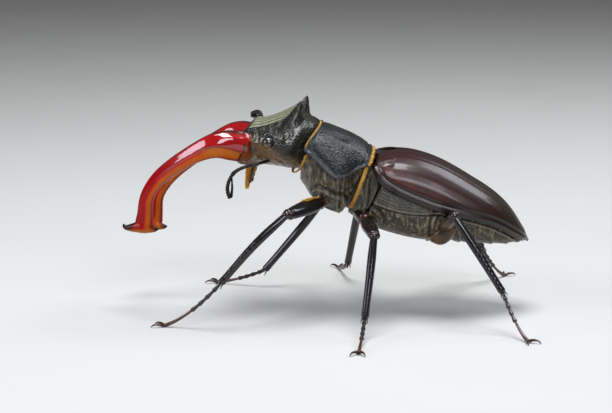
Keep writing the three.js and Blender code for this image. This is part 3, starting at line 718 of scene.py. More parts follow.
def elytron():
    """Right wing case. Across it t falls from a quarter turn at the seam to 0 at the side:
    y = inner + (width - inner) cos^0.88 t and z = edge + (crown - edge) sin^0.88 t, then the rim turns down, in.
    A bead with a furrow inside it runs along the side, a narrow one along the seam, and the shoulder swells."""
    x = stations((ELYTRA_START, 4, 44), (4, 27, 74), (27, ELYTRA_END, 40))
    t = np.linspace(np.pi / 2, 0, 104)[None, :]
    width, crown, edge = elytra_width(x), elytra_crown(x), elytra_edge(x)
    inner = np.maximum(SEAM_GAP / 2, (scutellum_half(x) + 0.22) * (1 - smooth(x, 3.3, 4.4)))
    y = inner + (width - inner) * np.cos(t) ** 0.88
    z = edge + (crown - edge) * np.sin(t) ** 0.88
    roll = np.linspace(0, 1, 15)[None, 1:]
    y = np.hstack([y, width - 0.32 * roll ** 2])
    z = np.hstack([z, edge - rim_depth(x) * np.sin(roll * np.pi / 2)])
    grid = np.stack([x + 0 * y, y, z], -1)
    run = run_across(grid)
    to_edge = run[:, [t.shape[1] - 1]] - run
    narrow = smooth(width, 0.8, 3.5)
    side_bead = 0.17 * bell(to_edge, 0.12, 0.20) - 0.11 * bell(to_edge, 0.72, 0.30)
    seam_bead = 0.06 * bell(run, 0.25, 0.22) - 0.06 * bell(run, 0.85, 0.25)
    shoulder = 0.10 * bell(x, 2.8, 1.4) * bell(y, 7.8, 1.0)
    waves = 0.016 * np.sin(TURN * run / 1.7) * smooth(run, 1.2, 3) * smooth(to_edge, 1.0, 2.2)
    lip = -0.35 * (1 - smooth(x, ELYTRA_START, 1.25)) ** 1.5
    grid = raised(grid, narrow * (side_bead + seam_bead + waves) + shoulder + lip)
    dome = np.hstack([np.sin(t) + 0 * x, 0 * roll + 0 * x])
    # Painted shade: the edge mark darkens the furrow inside the side bead and the turned-down rim; the seam mark
    # darkens the seam, the furrow beside it and the base under the shield.
    edge_shade_mark = np.clip(bell(to_edge, 0.75, 0.30) + (to_edge < 0.02), 0, 1)
    seam_shade_mark = bell(run, 0.85, 0.25) + bell(run, 0, 0.12) + (1 - smooth(x, 0.7, 1.2))
    marks = np.stack([dome, edge_shade_mark, np.clip(seam_shade_mark, 0, 1) + 0 * dome], -1)
    return shell(grid, 0.45, marks)


def scutellum():
    """Small three-sided plate: half-width 2.3 (1 - (x - 0.2) / 4.2), top rising backwards, crowned across by
    0.35 (1 - (y / half)^2) and sunk along the middle, its underside level."""
    x = np.linspace(0.2, 3.5, 40)[:, None]
    v = np.linspace(-1, 1, 49)[None, :]
    half = scutellum_half(x) * (1 - 0.3 * smooth(x, 2.6, 3.5))
    y = half * v
    z = -0.87 + 0.45 * x + 0.32 * (1 - np.abs(v) ** 2.6) - 0.1 * bell(v, 0, 0.25)
    top = np.stack([x + 0 * y, y, z], -1)
    return shell(top, 0.9)


# ------------------------------------------------------------------ shield and trunk

pronotum_width = through((-11, 7.3), (-9, 8.4), (-6.6, 9.3), (-4.7, 9.6), (-3.2, 9.0), (-1.8, 7.8), (0, 7.1))
pronotum_crown = through((-11, 0.2), (-8.5, 0.45), (-5, 0.65), (-2.5, 0.5), (0, -0.15))
pronotum_edge = through((-11, -4.4), (-9, -4.9), (-6.6, -6.0), (-4.7, -6.5), (-3.2, -5.7), (-1.8, -3.9), (0, -2.2))


def corner_reach(x, across):
    """The front corners stand 1.1 |y / width|^2.5 ahead of the middle."""
    return x - 1.1 * np.abs(across) ** 2.5 * smooth(-x, 6, 10.3)


def shield_point(x, t):
    """Point of the shield's dome at station x, t from 0 at its right edge to a half turn at its left."""
    y = pronotum_width(x) * np.cos(t)
    z = pronotum_edge(x) + (pronotum_crown(x) - pronotum_edge(x)) * np.maximum(np.sin(t), 0) ** 0.85
    return np.stack([corner_reach(x, np.cos(t)), y, z], -1)


def shield():
    """Pronotum: dome z = edge + (crown - edge) sin^0.85 t with y = width cos t, its side edges rolled under by a
    half turn of radius 0.3. Beads run along all four margins with a furrow inside each; a shallow furrow lies
    along the middle and a shallow dent each side of it. Rounded grains stand on the rest."""
    x = stations((-10.3, -9, 22), (-9, -1.5, 84), (-1.5, -0.3, 20))
    t = np.linspace(0, np.pi, 270)[None, :]
    dome = shield_point(x + 0 * t, t + 0 * x)
    steps = 10
    roll = np.linspace(0, 1, steps + 1)[None, 1:] * np.pi
    out = pronotum_width(x) - 0.3 + 0.3 * np.cos(roll)
    down = pronotum_edge(x) - 0.3 * np.sin(roll)
    rolls = [np.stack([corner_reach(x, 1.0) + 0 * roll, side * out, down], -1) for side in (1, -1)]
    grid = np.concatenate([rolls[0][:, ::-1], dome, rolls[1]], axis=1)
    run = run_across(grid)
    to_edge = np.minimum(run - run[:, [steps]], run[:, [-1 - steps]] - run)
    y = grid[..., 1]
    side_bead = 0.20 * bell(to_edge, 0.05, 0.26) - 0.12 * bell(to_edge, 0.80, 0.36)
    front_bead = 0.16 * bell(x, -10.2, 0.20) - 0.10 * bell(x, -9.75, 0.25)
    rear_bead = 0.16 * bell(x, -0.45, 0.20) - 0.10 * bell(x, -0.95, 0.28)
    middle = -0.14 * bell(y, 0, 0.40) * smooth(x, -9.5, -7.5) * (1 - smooth(x, -3, -1))
    off = np.abs(y)
    dents = -0.22 * bell(x, -6.2, 1.5) * bell(off, 4.6, 1.2) - 0.12 * bell(x, -3.0, 1.0) * bell(off, 7.3, 0.8)
    inside = smooth(to_edge, -0.1, 0.3)
    grid = raised(grid, side_bead + inside * (front_bead + rear_bead + middle + dents))
    spot = bell(x, -5.6, 0.9) * bell(off, 5.6, 1.0)
    grainy = inside * smooth(to_edge, 0.2, 0.6) * (1 - 0.9 * spot)
    grainy = grainy * smooth(x, -10.0, -9.8) * (1 - smooth(x, -0.9, -0.6))
    grid = raised(grid, (0.040 + 0.035 * smooth(off, 3, 8)) * grainy * grains_over(grid, 0.44))
    # Marks: the bead mark carries a painted highlight along the beads, the spot mark the smooth spots, and the
    # third mark makes the painted glints stronger low on the sides.
    bead = np.clip(bell(to_edge, 0.0, 0.22) + inside * 0.4 * (bell(x, -10.2, 0.2) + bell(x, -0.45, 0.2)), 0, 1)
    low = smooth(off, 5.5, 9.0)
    return shell(grid, 0.45, np.stack([bead, spot + 0 * y, low], -1))


prothorax_bottom = through((-11, -9.5), (-9, -10.9), (-6, -12.4), (-3, -13.0), (0, -13.1))
thorax_bottom = through((0, -11.9), (3, -12.5), (6, -12.7), (11, -12.0), (16, -10.7))
abdomen_bottom = through((16, -8.2), (19.4, -8.9), (23.7, -7.5), (28, -5.7), (31.2, -3.9))


def hip_distance(points, legs):
    """Distance of trunk-frame points from the nearest of some hip axes, each a line through two points."""
    nearest = np.full(points.shape[:-1], 99.0)
    back = np.linalg.inv(TRUNK)
    for leg in legs:
        for hand in ("left", "right"):
            hip, knee = placed(np.array(STANCE[f"{leg}_{hand}"][:2], float), back)
            axis = unit(knee - hip)
            off = points - hip
            along = off @ axis
            apart = np.linalg.norm(off - along[..., None] * axis, axis=-1)
            nearest = np.minimum(nearest, apart + 2 * np.maximum(-along - 3, 0))
    return nearest


def prothorax():
    """Breast under the shield: a vault below the shield, then a belly
    y = width sgn(cos t) |cos t|^0.9, z = edge + belly sin t |sin t|^0.1. A raised collar stands round each front
    hip, curved ridges run down behind it, and a keel runs along the middle."""
    x = np.linspace(-9.9, -0.35, 90)[:, None]
    width = pronotum_width(x) - 0.75
    edge = pronotum_edge(x) - 0.6
    rise = 0.45 * (pronotum_crown(x) - pronotum_edge(x))
    over = np.linspace(0, np.pi, 50)[None, :]
    under = np.linspace(np.pi, TURN, 171)[None, 1:-1]
    belly = edge - prothorax_bottom(x)
    y = np.hstack([width * np.cos(over), width * np.sign(np.cos(under)) * np.abs(np.cos(under)) ** 0.9])
    z = np.hstack([edge + rise * np.sin(over), edge + belly * np.sin(under) * np.abs(np.sin(under)) ** 0.1])
    rings = np.stack([corner_reach(x, y / width), y, z], -1)
    hips = hip_distance(rings, ["front"])
    low = np.hstack([0 * over, np.abs(np.sin(under))])
    lean = rings[..., 0] + 0.45 * (z + 8.6)
    side = smooth(np.abs(y), 2.2, 4.0) * smooth(low, 0.05, 0.3)
    collar = 0.45 * bell(hips, 2.45, 0.28) - 0.35 * bell(hips, 3.05, 0.3)
    ridges = side * (0.20 * bell(lean, -3.1, 0.22) + 0.16 * bell(lean, -2.1, 0.18) - 0.14 * bell(lean, -2.65, 0.2))
    keel = 0.35 * bell(y, 0, 0.7) * smooth(low, 0.8, 1) * smooth(x, -9, -6)
    rim = -0.5 * (1 - smooth(x, -9.9, -9.4)) ** 2 - 0.3 * smooth(x, -0.6, -0.35)
    rings = raised(rings, collar * smooth(low, 0, 0.2) + ridges + keel + rim, True)
    # Painted shade in the grooves round the hip and between the ridges (first mark); painted highlight on the
    # collar's and ridges' crests (second mark).
    seam_shade = np.clip(bell(hips, 3.0, 0.25) + 0.6 * side * bell(lean, -2.62, 0.22), 0, 1)
    crest_highlight = np.clip(bell(hips, 2.45, 0.2) + side * (bell(lean, -3.1, 0.16) + 0.7 * bell(lean, -2.1, 0.14)), 0, 1)
    return closed(rings, None, np.stack([seam_shade, crest_highlight, 0 * seam_shade], -1))


def trunk_rings(x, inset, bottom):
    """Rings of the trunk under the wing cases: a flat roof a little inside their rims, upright flanks and a belly
    y = width sgn(cos t) |cos t|^0.8, z = flank + (flank - deep) sin t."""
    x = x[:, None]
    width = elytra_width(np.maximum(x, 2)) - inset
    roof = elytra_edge(x) - rim_depth(x) + 0.1
    deep = np.minimum(bottom(x), roof - 0.6)
    flank = lerp(roof, deep, 0.25)
    top = np.linspace(1, -1, 24)[None, :]
    down = np.linspace(0, 1, 26)[None, 1:-1]
    t = np.linspace(np.pi, TURN, 150)[None, :]
    y = np.hstack([
        top * (width - 0.3), -(width - 0.3 + 0.3 * down),
        width * np.sign(np.cos(t)) * np.abs(np.cos(t)) ** 0.8, width - 0.3 * down])
    z = np.hstack([
        roof + 0 * top, lerp(roof, flank, down),
        flank + (flank - deep) * np.sin(t), lerp(flank, roof, down)])
    return np.stack([x + 0 * y, y, z], -1)


flank_line = through((0.5, -7.4), (3.4, -8.0), (4.8, -7.9), (7.5, -7.5), (9.9, -6.9), (12.2, -6.0), (14.3, -4.9),
                     (15.8, -4.6))


def mesothorax():
    """Waist and middle ring. The waist is an oval behind the shield that widens into the trunk section;
    upright ribs mark the side plates, with a collar round each middle hip."""
    x = np.linspace(0.02, 3.1, 60)
    rings = trunk_rings(x, 1.2, thorax_bottom)
    angle = np.arctan2(rings[..., 2] + 5.8, rings[..., 1] / 1.25)
    tall = np.where(np.sin(angle) > 0, 5.0, 6.0)
    oval = np.stack([rings[..., 0], 7.0 * np.cos(angle), -5.8 + tall * np.sin(angle)], -1)
    rings = lerp(oval, rings, smooth(x, 0.35, 0.9)[:, None, None])
    hips = hip_distance(rings, ["mid"])
    y, z = rings[..., 1], rings[..., 2]
    side = smooth(np.abs(y), 4.5, 6.5) * (1 - smooth(z, -4.0, -3.4)) * smooth(rings[..., 0], 0.8, 1.3)
    lean = rings[..., 0] + 0.35 * (z + 5.5)
    plates = side * (0.16 * bell(lean, 1.1, 0.2) - 0.16 * bell(lean, 1.55, 0.18) + 0.14 * bell(lean, 2.9, 0.2))
    collar = 0.30 * bell(hips, 2.35, 0.25)
    rings = raised(rings, plates + collar, True)
    # Painted shade in the grooves between the side plates; painted highlight on a rib's crest.
    seam_shade = side * np.clip(bell(lean, 1.55, 0.18) + bell(lean, 3.2, 0.2), 0, 1)
    crest_highlight = side * bell(lean, 1.1, 0.15) * 0.8
    return closed(rings, None, np.stack([seam_shade, crest_highlight, side * 0.9], -1))


def metathorax():
    """Hind breast. The side strip above flank_line stands 0.16 proud with a bead on its lower edge and long fine
    wrinkles; the breastplate below has a groove along its middle, a collar round each hip, and a lip at its end."""
    x = np.linspace(3.42, 15.8, 130)
    rings = trunk_rings(x, 0.5, thorax_bottom)
    across, y, z = rings[..., 0], rings[..., 1], rings[..., 2]
    line = flank_line(across)
    side = smooth(np.abs(y), 5.5, 7.2)
    strip = side * smooth(z, line - 0.10, line + 0.14)
    wrinkles = 0.045 * np.sin(TURN * (z - line) / 0.52 + 1.4 * np.sin(1.1 * across) + 0.8 * np.sin(2.7 * across))
    bead = side * (0.16 * bell(z, line + 0.14, 0.17) - 0.18 * bell(z, line - 0.22, 0.20))
    hips = np.minimum(hip_distance(rings, ["mid"]), hip_distance(rings, ["hind"]))
    collar = 0.30 * bell(hips, 2.45, 0.28) - 0.22 * bell(hips, 3.0, 0.3)
    belly = smooth(-z, 9.5, 11.5)
    groove = -0.20 * bell(y, 0, 0.22) * belly - 0.10 * bell(np.abs(y), 3.6 + 0.12 * across, 0.25) * belly
    ends = -0.35 * (1 - smooth(across, 3.42, 3.9)) ** 2 - 0.30 * smooth(across, 15.3, 15.8) ** 2
    rings = raised(rings, strip * (0.16 + wrinkles) + bead + collar + groove + ends, True)
    # Painted shade in the groove under the bead, round the hips and along the middle; painted highlight on the
    # bead's crest.
    seam_shade = np.clip(side * bell(z, line - 0.22, 0.18) + bell(hips, 3.0, 0.2) + bell(y, 0, 0.15) * belly, 0, 1)
    crest_highlight = np.clip(side * bell(z, line + 0.14, 0.13), 0, 1)
    return closed(rings, None, np.stack([seam_shade, crest_highlight, strip], -1))


def abdomen():
    """Hind body of five overlapping belly rings: each rises 0.24 s^1.6 over its share s and drops within the last
    tenth; the rings' seams lean forward towards the back. A bead runs along its upper edge, with a painted
    highlight on its crest."""
    x = np.linspace(16.1, 31.2, 170)
    rings = trunk_rings(x, 0.8, abdomen_bottom)
    along, y, z = rings[..., 0], rings[..., 1], rings[..., 2]
    lean = along + 0.5 * (z + 4.4) * smooth(-z, 3.0, 5.0)
    seams = np.array([15.0, 18.8, 21.8, 25.3, 28.4, 31.6])
    which = np.clip(np.searchsorted(seams, lean) - 1, 0, len(seams) - 2)
    share = (lean - seams[which]) / (seams[which + 1] - seams[which])
    tile = 0.24 * np.clip(share, 0, 1) ** 1.6 * (1 - smooth(share, 0.93, 1.0))
    roof = elytra_edge(along) - ELYTRON_RIM - 0.3
    upper = 0.12 * bell(z, roof - 0.30, 0.16) - 0.10 * bell(z, roof - 0.72, 0.18)
    sides = smooth(np.abs(y), 1.0, 3.0) * (z < roof - 0.02)
    belly = z < roof - 0.02
    rings = raised(rings, tile * belly + upper * sides, True)
    # Painted shade in the seams between the rings and under the upper bead; painted highlight on the bead's crest
    # and the rings' raised ends.
    seam_shade = 1 - smooth(share, 0.0, 0.08) + smooth(share, 0.97, 1.0) + 0.5 * sides * bell(z, roof - 0.72, 0.16)
    crest_highlight = np.clip(sides * bell(z, roof - 0.30, 0.14) + 0.5 * bell(share, 0.90, 0.04), 0, 1)
    return closed(rings, None, np.stack([np.clip(seam_shade, 0, 1), crest_highlight, 0.35 * sides], -1))


# ------------------------------------------------------------------ head

head_width = through((-21.9, 5.4), (-21, 6.9), (-19.4, 8.0), (-17.8, 8.35), (-16.2, 8.4), (-14.8, 8.8),
                     (-13.4, 9.1), (-12.2, 8.9), (-11, 7.9), (-9.6, 6.2))
head_side = through((-21.9, -8.6), (-20, -7.4), (-17, -6.3), (-14, -5.0), (-12, -4.2), (-9.6, -4.0))
head_top = through((-21.9, -6.0), (-21.3, -4.2), (-19.6, -3.2), (-18.1, -1.8), (-16.9, -0.4), (-16.1, 0.6),
                   (-15.2, 1.6), (-14.5, 1.3), (-13.7, 0.55), (-12.4, 0.3), (-9.6, 0.3))
head_bottom = through((-21.9, -11.9), (-20, -12.7), (-18, -11.7), (-15.9, -10.7), (-13, -9.7), (-9.6, -9.0))
neck_width = through((-12.6, 9.1), (-12.0, 8.5), (-11.4, 7.6), (-10.4, 6.7), (-9.2, 6.0))
rim_line = through((-21.9, 5.0), (-18, 5.3), (-16.6, 5.1), (-15.6, 4.7), (-14.9, 4.35), (-13.5, 4.1))

CREST_AT, HORN_AT = -14.9, 4.3
EYE_AT, EYE_RADII, EYE_SUNK = np.array([-16.5, 8.0, -6.0]), (1.10, 1.05, 1.05), 0.25
MANDIBLE_PATH = Path(
    (-19.4, 5.0, -8.7), (-21.0, 6.6, -9.0), (-24.6, 8.8, -10.3), (-28.9, 8.2, -15.4),
    (-31.9, 6.0, -21.2), (-32.4, 5.0, -25.1), (-31.4, 4.7, -28.3), (-30.8, 4.6, -30.2))


def head_roof(x, y):
    """Height of the head's upper face: a vault falling to the sides, two raised ends of the crest with a sharp
    point on each, and a beaded rim along each side of the forehead that climbs the front of the crest, with a
    furrow inside it. The crest stands further back on the left."""
    off = np.abs(y)
    across = np.clip(off / head_width(x), 0, 1)
    fullness = lerp(1.8, 2.3, smooth(x, -15.2, -12.5))
    softness = lerp(1, 0.75, smooth(x, -15, -12))
    vault = (head_top(x) - head_side(x)) * np.maximum(1 - across ** fullness, 0) ** softness
    top_at = CREST_AT + 0.25 - 0.40 * smooth(y, -1, 1)
    rise = smooth(x, top_at - 1.35, top_at) ** 1.2 * (1 - smooth(x, top_at, -12.6))
    slope = np.where(off < HORN_AT, bell(off, HORN_AT, 1.0), 1 - smooth(off, HORN_AT - 0.3, 7.6))
    crest = 2.85 * rise * slope
    point = 0.22 * bell(x, top_at, 0.35) * bell(off, HORN_AT + 0.05, 0.45)
    forehead = smooth(x, -21.6, -20.8) * (1 - smooth(x, -17, -15.8))
    rim = forehead * (0.42 * bell(off, rim_line(x), 0.42) - 0.40 * bell(off, rim_line(x) - 1.25, 0.8))
    climb = 0.32 * bell(off, rim_line(x), 0.24) * smooth(x, -18.0, -16.6) * (1 - smooth(x, -15.6, -15.0))
    saddle = 0.20 * bell(x, -15.2, 0.45) * (1 - smooth(off, 1.5, 3.0))
    return head_side(x) + vault + crest + point + rim + climb + saddle


def head():
    """Head: over it y = width cos t and z = head_roof(x, y), under it y = width sgn(cos t) |cos t|^0.85 and
    z = side + (side - bottom) sin t. Its back narrows to pass inside the shield. A ridge runs over each eye, a
    rim goes round the eye and round the mandible's socket, the temple swells behind the eye, and rounded grains
    stand everywhere but on the forehead."""
    x = stations((-21.9, -17, 60), (-17, -13.5, 74), (-13.5, -8.4, 46))
    over = np.linspace(0, np.pi, 281)[None, :]
    under = np.linspace(np.pi, TURN, 151)[None, 1:-1]
    tuck = smooth(x, -11.2, -9.9)
    width = np.minimum(head_width(x), neck_width(x))
    side = head_side(x)
    deep = side - head_bottom(x) - 0.5 * tuck
    nose = 1 - 0.18 * (1 - smooth(x, -21.9, -21.4)) ** 2
    y = nose * np.hstack([width * np.cos(over), width * np.sign(np.cos(under)) * np.abs(np.cos(under)) ** 0.85])
    roof = head_roof(x + 0 * over, head_width(x) * np.cos(over)) - 0.6 * tuck
    roof[:, [0, -1]] = side
    z = np.hstack([roof, side + deep * np.sin(under)])
    rings = np.stack([x + 0 * y, y, z], -1)
    off = np.abs(y)
    flank = smooth(off, 5.5, 7.0)
    ring = np.hypot((x - EYE_AT[0]) / EYE_RADII[0], (z - EYE_AT[2]) / EYE_RADII[2])
    socket = flank * (0.08 * bell(ring, 1.22, 0.22) - 0.35 * (1 - smooth(ring, 0.7, 0.98)))
    brow = 0.45 * flank * bell(z - 0.12 * (x + 16.5), -4.75, 0.34) * bell(x, -17.0, 1.9)
    temple = 0.30 * flank * bell(x, -13.4, 1.0) * bell(z, -5.4, 1.5)
    cheek_seam = -0.14 * flank * bell(z + 0.1 * (x + 15), -7.9, 0.18)
    cheek_seam = cheek_seam * smooth(x, -20.5, -19) * (1 - smooth(x, -13, -12))
    pivot, ahead = MANDIBLE_PATH.at(np.array([0.0, 0.06]))
    axis = unit(ahead - pivot)
    away = np.stack([rings[..., 0], off, z], -1) - pivot
    along = away @ axis
    apart = np.linalg.norm(away - along[..., None] * axis, axis=-1)
    near = smooth(along, -1.5, 0.5)
    joint = near * (0.34 * bell(apart, 3.05, 0.30) - 0.5 * (1 - smooth(apart, 2.0, 2.75)))
    throat = -0.14 * bell(off, 2.2, 0.22) * smooth(-z, 9.0, 10.0) * smooth(x, -19, -17)
    lumps = 0.035 * np.sin(3.1 * x + 1.7 * y) * np.sin(2.3 * y - 2.9 * z)
    lumps = lumps + 0.02 * np.sin(6.7 * x - 3.1 * z) * np.sin(5.9 * z + 2.1 * y) * smooth(off, 5.0, 6.5)
    rings = raised(rings, socket + brow + temple + cheek_seam + joint + throat + lumps, True)
    top = z > side
    bare = top * (1 - smooth(off, rim_line(x) - 0.9, rim_line(x) - 0.2)) * (1 - smooth(x, -15.4, -14.9))
    rings = raised(rings, 0.055 * (1 - bare) * smooth(ring, 1.05, 1.4) * grains_over(rings, 0.46), True)
    # Painted reflection: the forehead mark paints the forehead pale.
    forehead = top * (1 - smooth(off, rim_line(x) - 0.75, rim_line(x) - 0.25)) * smooth(x, -21.4, -20.9)
    forehead = forehead * (1 - smooth(x, -15.4, -14.9))
    cheek = np.clip(smooth(-z, 5.8, 7.6) + 0.8 * flank * bell(x, -16.2, 1.2) * bell(z, -7.4, 0.8), 0, 1)
    # Painted shade: the crest mark darkens the crest's side face.
    crest = top * bell(x, -15.3, 1.3) * bell(off, 5.4, 1.9) * smooth(z, -1.5, 0.5)
    return closed(rings, None, np.stack([forehead, cheek, np.clip(crest, 0, 1)], -1))


def labrum():
    """Upper lip: oval sections that widen backwards, hollowed a little across the middle."""
    u = np.linspace(0, 1, 26)[:, None]
    a = around(40)
    half = lerp(1.2, 2.4, u) * rounded(u, 0.3, 0.05)
    tall = 0.9 * rounded(u, 0.35, 0.05) * (1 - 0.12 * bell(np.cos(a), 0, 0.4))
    rings = np.stack([lerp(-22.9, -21.0, u) + 0 * a, half * np.cos(a), -9.4 + tall * np.sin(a)], -1)
    return closed(rings)


def eye():
    """Right eye: an ellipsoid; its lower half is marked amber."""
    made = ball(EYE_AT - (0, EYE_SUNK, 0), EYE_RADII, rows=40, sides=56)
    made.marks[:, 0] = smooth(-(made.points[:, 2] - EYE_AT[2]), 0.0, 0.6)
    return made


# ------------------------------------------------------------------ mandibles

mandible_tall = through((0, 2.75), (0.14, 2.65), (0.2, 2.4), (0.31, 1.88), (0.43, 1.6), (0.64, 1.38), (0.8, 1.28),
                        (0.9, 1.42), (1, 1.75))
mandible_wide = through((0, 2.2), (0.2, 1.9), (0.5, 1.35), (0.8, 1.05), (1, 0.95))

# The two prongs of the tip and the inner tooth: radius at the root, how far dark reaches from the point, line.
SPIKES = [
    (1.20, 2.6, [(-30.3, 4.6, -29.9), (-31.6, 4.5, -30.6), (-33.1, 4.35, -31.5), (-34.0, 4.3, -31.8),
                 (-34.5, 4.3, -31.3)]),
    (1.20, 1.6, [(-31.5, 4.6, -30.4), (-30.2, 4.5, -30.1), (-28.9, 4.35, -29.75), (-28.2, 4.3, -29.3)]),
    (0.95, 1.3, [(-31.9, 6.0, -21.0), (-32.0, 4.3, -21.6), (-32.1, 2.9, -22.5)]),
]


def ledge_line(share):
    """Where the ledge runs round the shaft at a share of its length: 1 is the underside, -1 the top."""
    return lerp(0.34, -0.10, np.clip((share - 0.07) / 0.25, 0, 1))


def flat_cut(near):
    """Change of scale that cuts a round flat at r = 0.92 / near, near being the cosine of the angle from the
    middle of the flat."""
    return np.minimum(0.92 / np.maximum(near, 0.5), 1) - 1


def shaft_scale(v, a):
    """Scale of the mandible's rings, 1 but for these: a boss swells on the outer face by the joint, below it a
    ledge overhangs a hollow face, the crown over it and the upper outer face further on are cut flat, a neck
    narrows before the joint, and the inner face is flatter."""
    low, out = np.cos(a), np.sin(a)
    ledge_at = ledge_line(v)
    ledge = smooth(v, 0.05, 0.08) * (1 - smooth(v, 0.27, 0.36)) * smooth(low, ledge_at, ledge_at + 0.09)
    hollow = ledge * (1 - smooth(low, 0.80, 1.0)) * np.clip(out, 0, 1) ** 0.7
    boss = bell(v, 0.135, 0.055) * bell(low, -0.60, 0.40) * np.clip(out + 0.2, 0, 1)
    crown = bell(v, 0.13, 0.07) * flat_cut(0.52 * out - 0.85 * low)
    facet = smooth(v, 0.16, 0.24) * (1 - smooth(v, 0.72, 0.86)) * flat_cut(0.85 * out - 0.53 * low)
    neck = bell(v, 0.043, 0.010) * np.clip(out + 0.4, 0, 1)
    inner = np.clip(-out, 0, 1) ** 2 * smooth(v, 0.1, 0.3)
    return 1 + 0.05 * boss + crown + facet - 0.22 * hollow - 0.06 * neck - 0.10 * inner


def mandible_skin():
    """Right mandible: a tube of half-sizes mandible_tall and mandible_wide, scaled by shaft_scale, and spikes whose
    radius falls as 1 - s^1.6, fused into one skin. Its marks and lay say where each point lies on it."""
    half = lambda u: [mandible_tall(u), mandible_wide(u)]
    parts = [tube(MANDIBLE_PATH, half, 72, 190, (0, 1, 0), (0.02, 0.03), scale=shaft_scale)]
    for wide, _, points in SPIKES:
        radius = lambda s, w=wide: [lerp(w, 0.14, s ** 1.6)] * 2
        parts.append(tube(Path(*points), radius, 20, 40, (0, 1, 0.2), (0.02, 0.03)))
    skin = fused(parts, 0.11, 9)
    samples = np.linspace(0, 1, 500)
    line = MANDIBLE_PATH.at(samples)
    nearest = np.concatenate([
        ((chunk[:, None] - line[None]) ** 2).sum(-1).argmin(1) for chunk in np.array_split(skin.points, 60)])
    share = samples[nearest]
    heading = MANDIBLE_PATH.heading(share)
    below = unit(np.cross(heading, (0, 1, 0)))
    away = skin.points - line[nearest]
    flat = unit(away - np.einsum("ij,ij->i", away, heading)[:, None] * heading)
    low = np.einsum("ij,ij->i", flat, below)
    ledge_at = ledge_line(share)
    outer = smooth(flat[:, 1], 0.15, 0.5) * smooth(share, 0.085, 0.10) * (1 - smooth(share, 0.25, 0.32))
    # The ledge mark is painted shade along the step under the ledge.
    ledge = outer * bell(low, ledge_at + 0.03, 0.05)
    under = outer * smooth(low, ledge_at + 0.02, ledge_at + 0.12)
    tip = np.max([
        1 - smooth(np.linalg.norm(skin.points - points[-1], axis=1), 0.5, dark)
        for _, dark, points in SPIKES], axis=0)
    angle = np.arccos(np.clip(low, -1, 1)) / np.pi
    rim = smooth(-skin.points[:, 2] + 0.5 * (skin.points[:, 0] + 31), 30.35, 31.1) * smooth(share, 0.9, 0.97)
    skin.marks = np.stack([share, 1 - angle, tip], -1)
    skin.lay = np.stack([rim, ledge, under], -1)
    return skin


def drooped(surface):
    """The same mandible hanging a little lower: each point sinks by 0.9 mm times a smooth share of its way down,
    and the end of its outer prong by 0.6 mm more."""
    points = surface.points.copy()
    points[:, 2] -= 0.9 * smooth(-points[:, 2], 11, 26) + 0.6 * smooth(-points[:, 0], 32.6, 34.2)
    return surface.on(points)


# ------------------------------------------------------------------ feelers and mouth

FEELERS = {
    "left": {
        "bulk": 1.15,
        "scape": [(-15.0, -6.0, -8.9), (-16.6, -7.8, -10.1), (-18.0, -8.3, -11.2), (-19.0, -8.7, -12.2),
                  (-19.6, -9.1, -13.2), (-19.76, -9.3, -14.0)],
        "club": [(-19.76, -9.3, -14.0), (-19.8, -9.4, -14.5), (-19.7, -9.4, -15.4), (-19.4, -9.3, -16.4),
                 (-18.9, -9.2, -17.1), (-18.3, -9.1, -17.6)],
        "inner": [(-19.6, -9.2, -14.1), (-19.25, -9.2, -14.8), (-18.8, -9.0, -15.8), (-18.45, -9.0, -16.8),
                  (-18.25, -9.1, -17.5)],
    },
    "right": {
        "bulk": 1.45,
        "scape": [(-15.6, 6.8, -8.4), (-18.3, 9.6, -7.6), (-20.5, 11.4, -6.3), (-22.1, 12.6, -5.7)],
        "club": [(-22.1, 12.6, -5.7), (-22.6, 13.6, -5.5), (-23.2, 14.8, -5.7), (-23.8, 15.9, -6.3),
                 (-24.2, 16.6, -6.8)],
        "inner": [(-22.2, 12.9, -6.0), (-22.5, 13.8, -6.2), (-23.0, 14.8, -6.5), (-23.5, 15.7, -6.9),
                  (-24.1, 16.6, -7.1)],
    },
}
BEADS = 9
LEAVES = ((0.0, 0.42, 0.15), (0.25, 0.66, 0.19), (0.48, 0.86, 0.22), (0.68, 1.0, 0.24))


def scape(points):
    """Long first joint of a feeler: a tube that thickens towards its end, with a knob at the elbow."""
    path = Path(*points)
    half = lambda u: [0.27 + 0.06 * u ** 1.5 + 0.05 * bell(u, 0.93, 0.06)] * 2
    return [tube(path, half, 20, 40, ends=(0.03, 0.05)), ball(path.at(1.0), (0.30, 0.30, 0.30), rows=14, sides=18)]


def club(points, inner, bulk):
    """Rest of a feeler: bead-like joints along its path, and flat leaves that lie one along the next on the inner
    side, so that a slit shows between leaves and beads. Bulk scales their girth."""
    path, leaves = Path(*points), Path(*inner)
    parts = []
    for k, share in enumerate(np.arange(BEADS) / BEADS):
        half = lambda u, s=bulk * (0.25 + 0.006 * k): [s * (0.80 + 0.35 * np.sin(np.pi * u))] * 2
        bead = Path(path.at(max(share - 0.02, 0)), path.at(share + 1.15 / BEADS))
        parts.append(tube(bead, half, 18, 16, ends=(0.25, 0.25)))
    for start, end, wide in LEAVES:
        half = lambda u, w=wide * bulk: [w * (0.75 + 0.3 * u), 1.35 * w * (0.75 + 0.3 * u)]
        leaf = Path(*leaves.at(np.linspace(start, end, 4)))
        parts.append(tube(leaf, half, 18, 20, (0, 1, 0), (0.15, 0.25)))
    return parts


def palp():
    """Right palp: four joints along a bent path, each thicker towards its far end."""
    path = Path((-17.8, 1.7, -11.4), (-17.7, 1.4, -13.0), (-17.5, 1.1, -14.3), (-17.3, 0.9, -15.2))
    half = lambda u: [0.25 + 0.07 * np.sin(np.pi * u ** 1.6 * 0.75)] * 2
    cuts = [0.0, 0.28, 0.52, 0.74, 1.0]
    return [tube(Path(*path.at(np.linspace(start, end, 4))), half, 18, 20, ends=(0.12, 0.2))
            for start, end in zip(cuts, cuts[1:])]


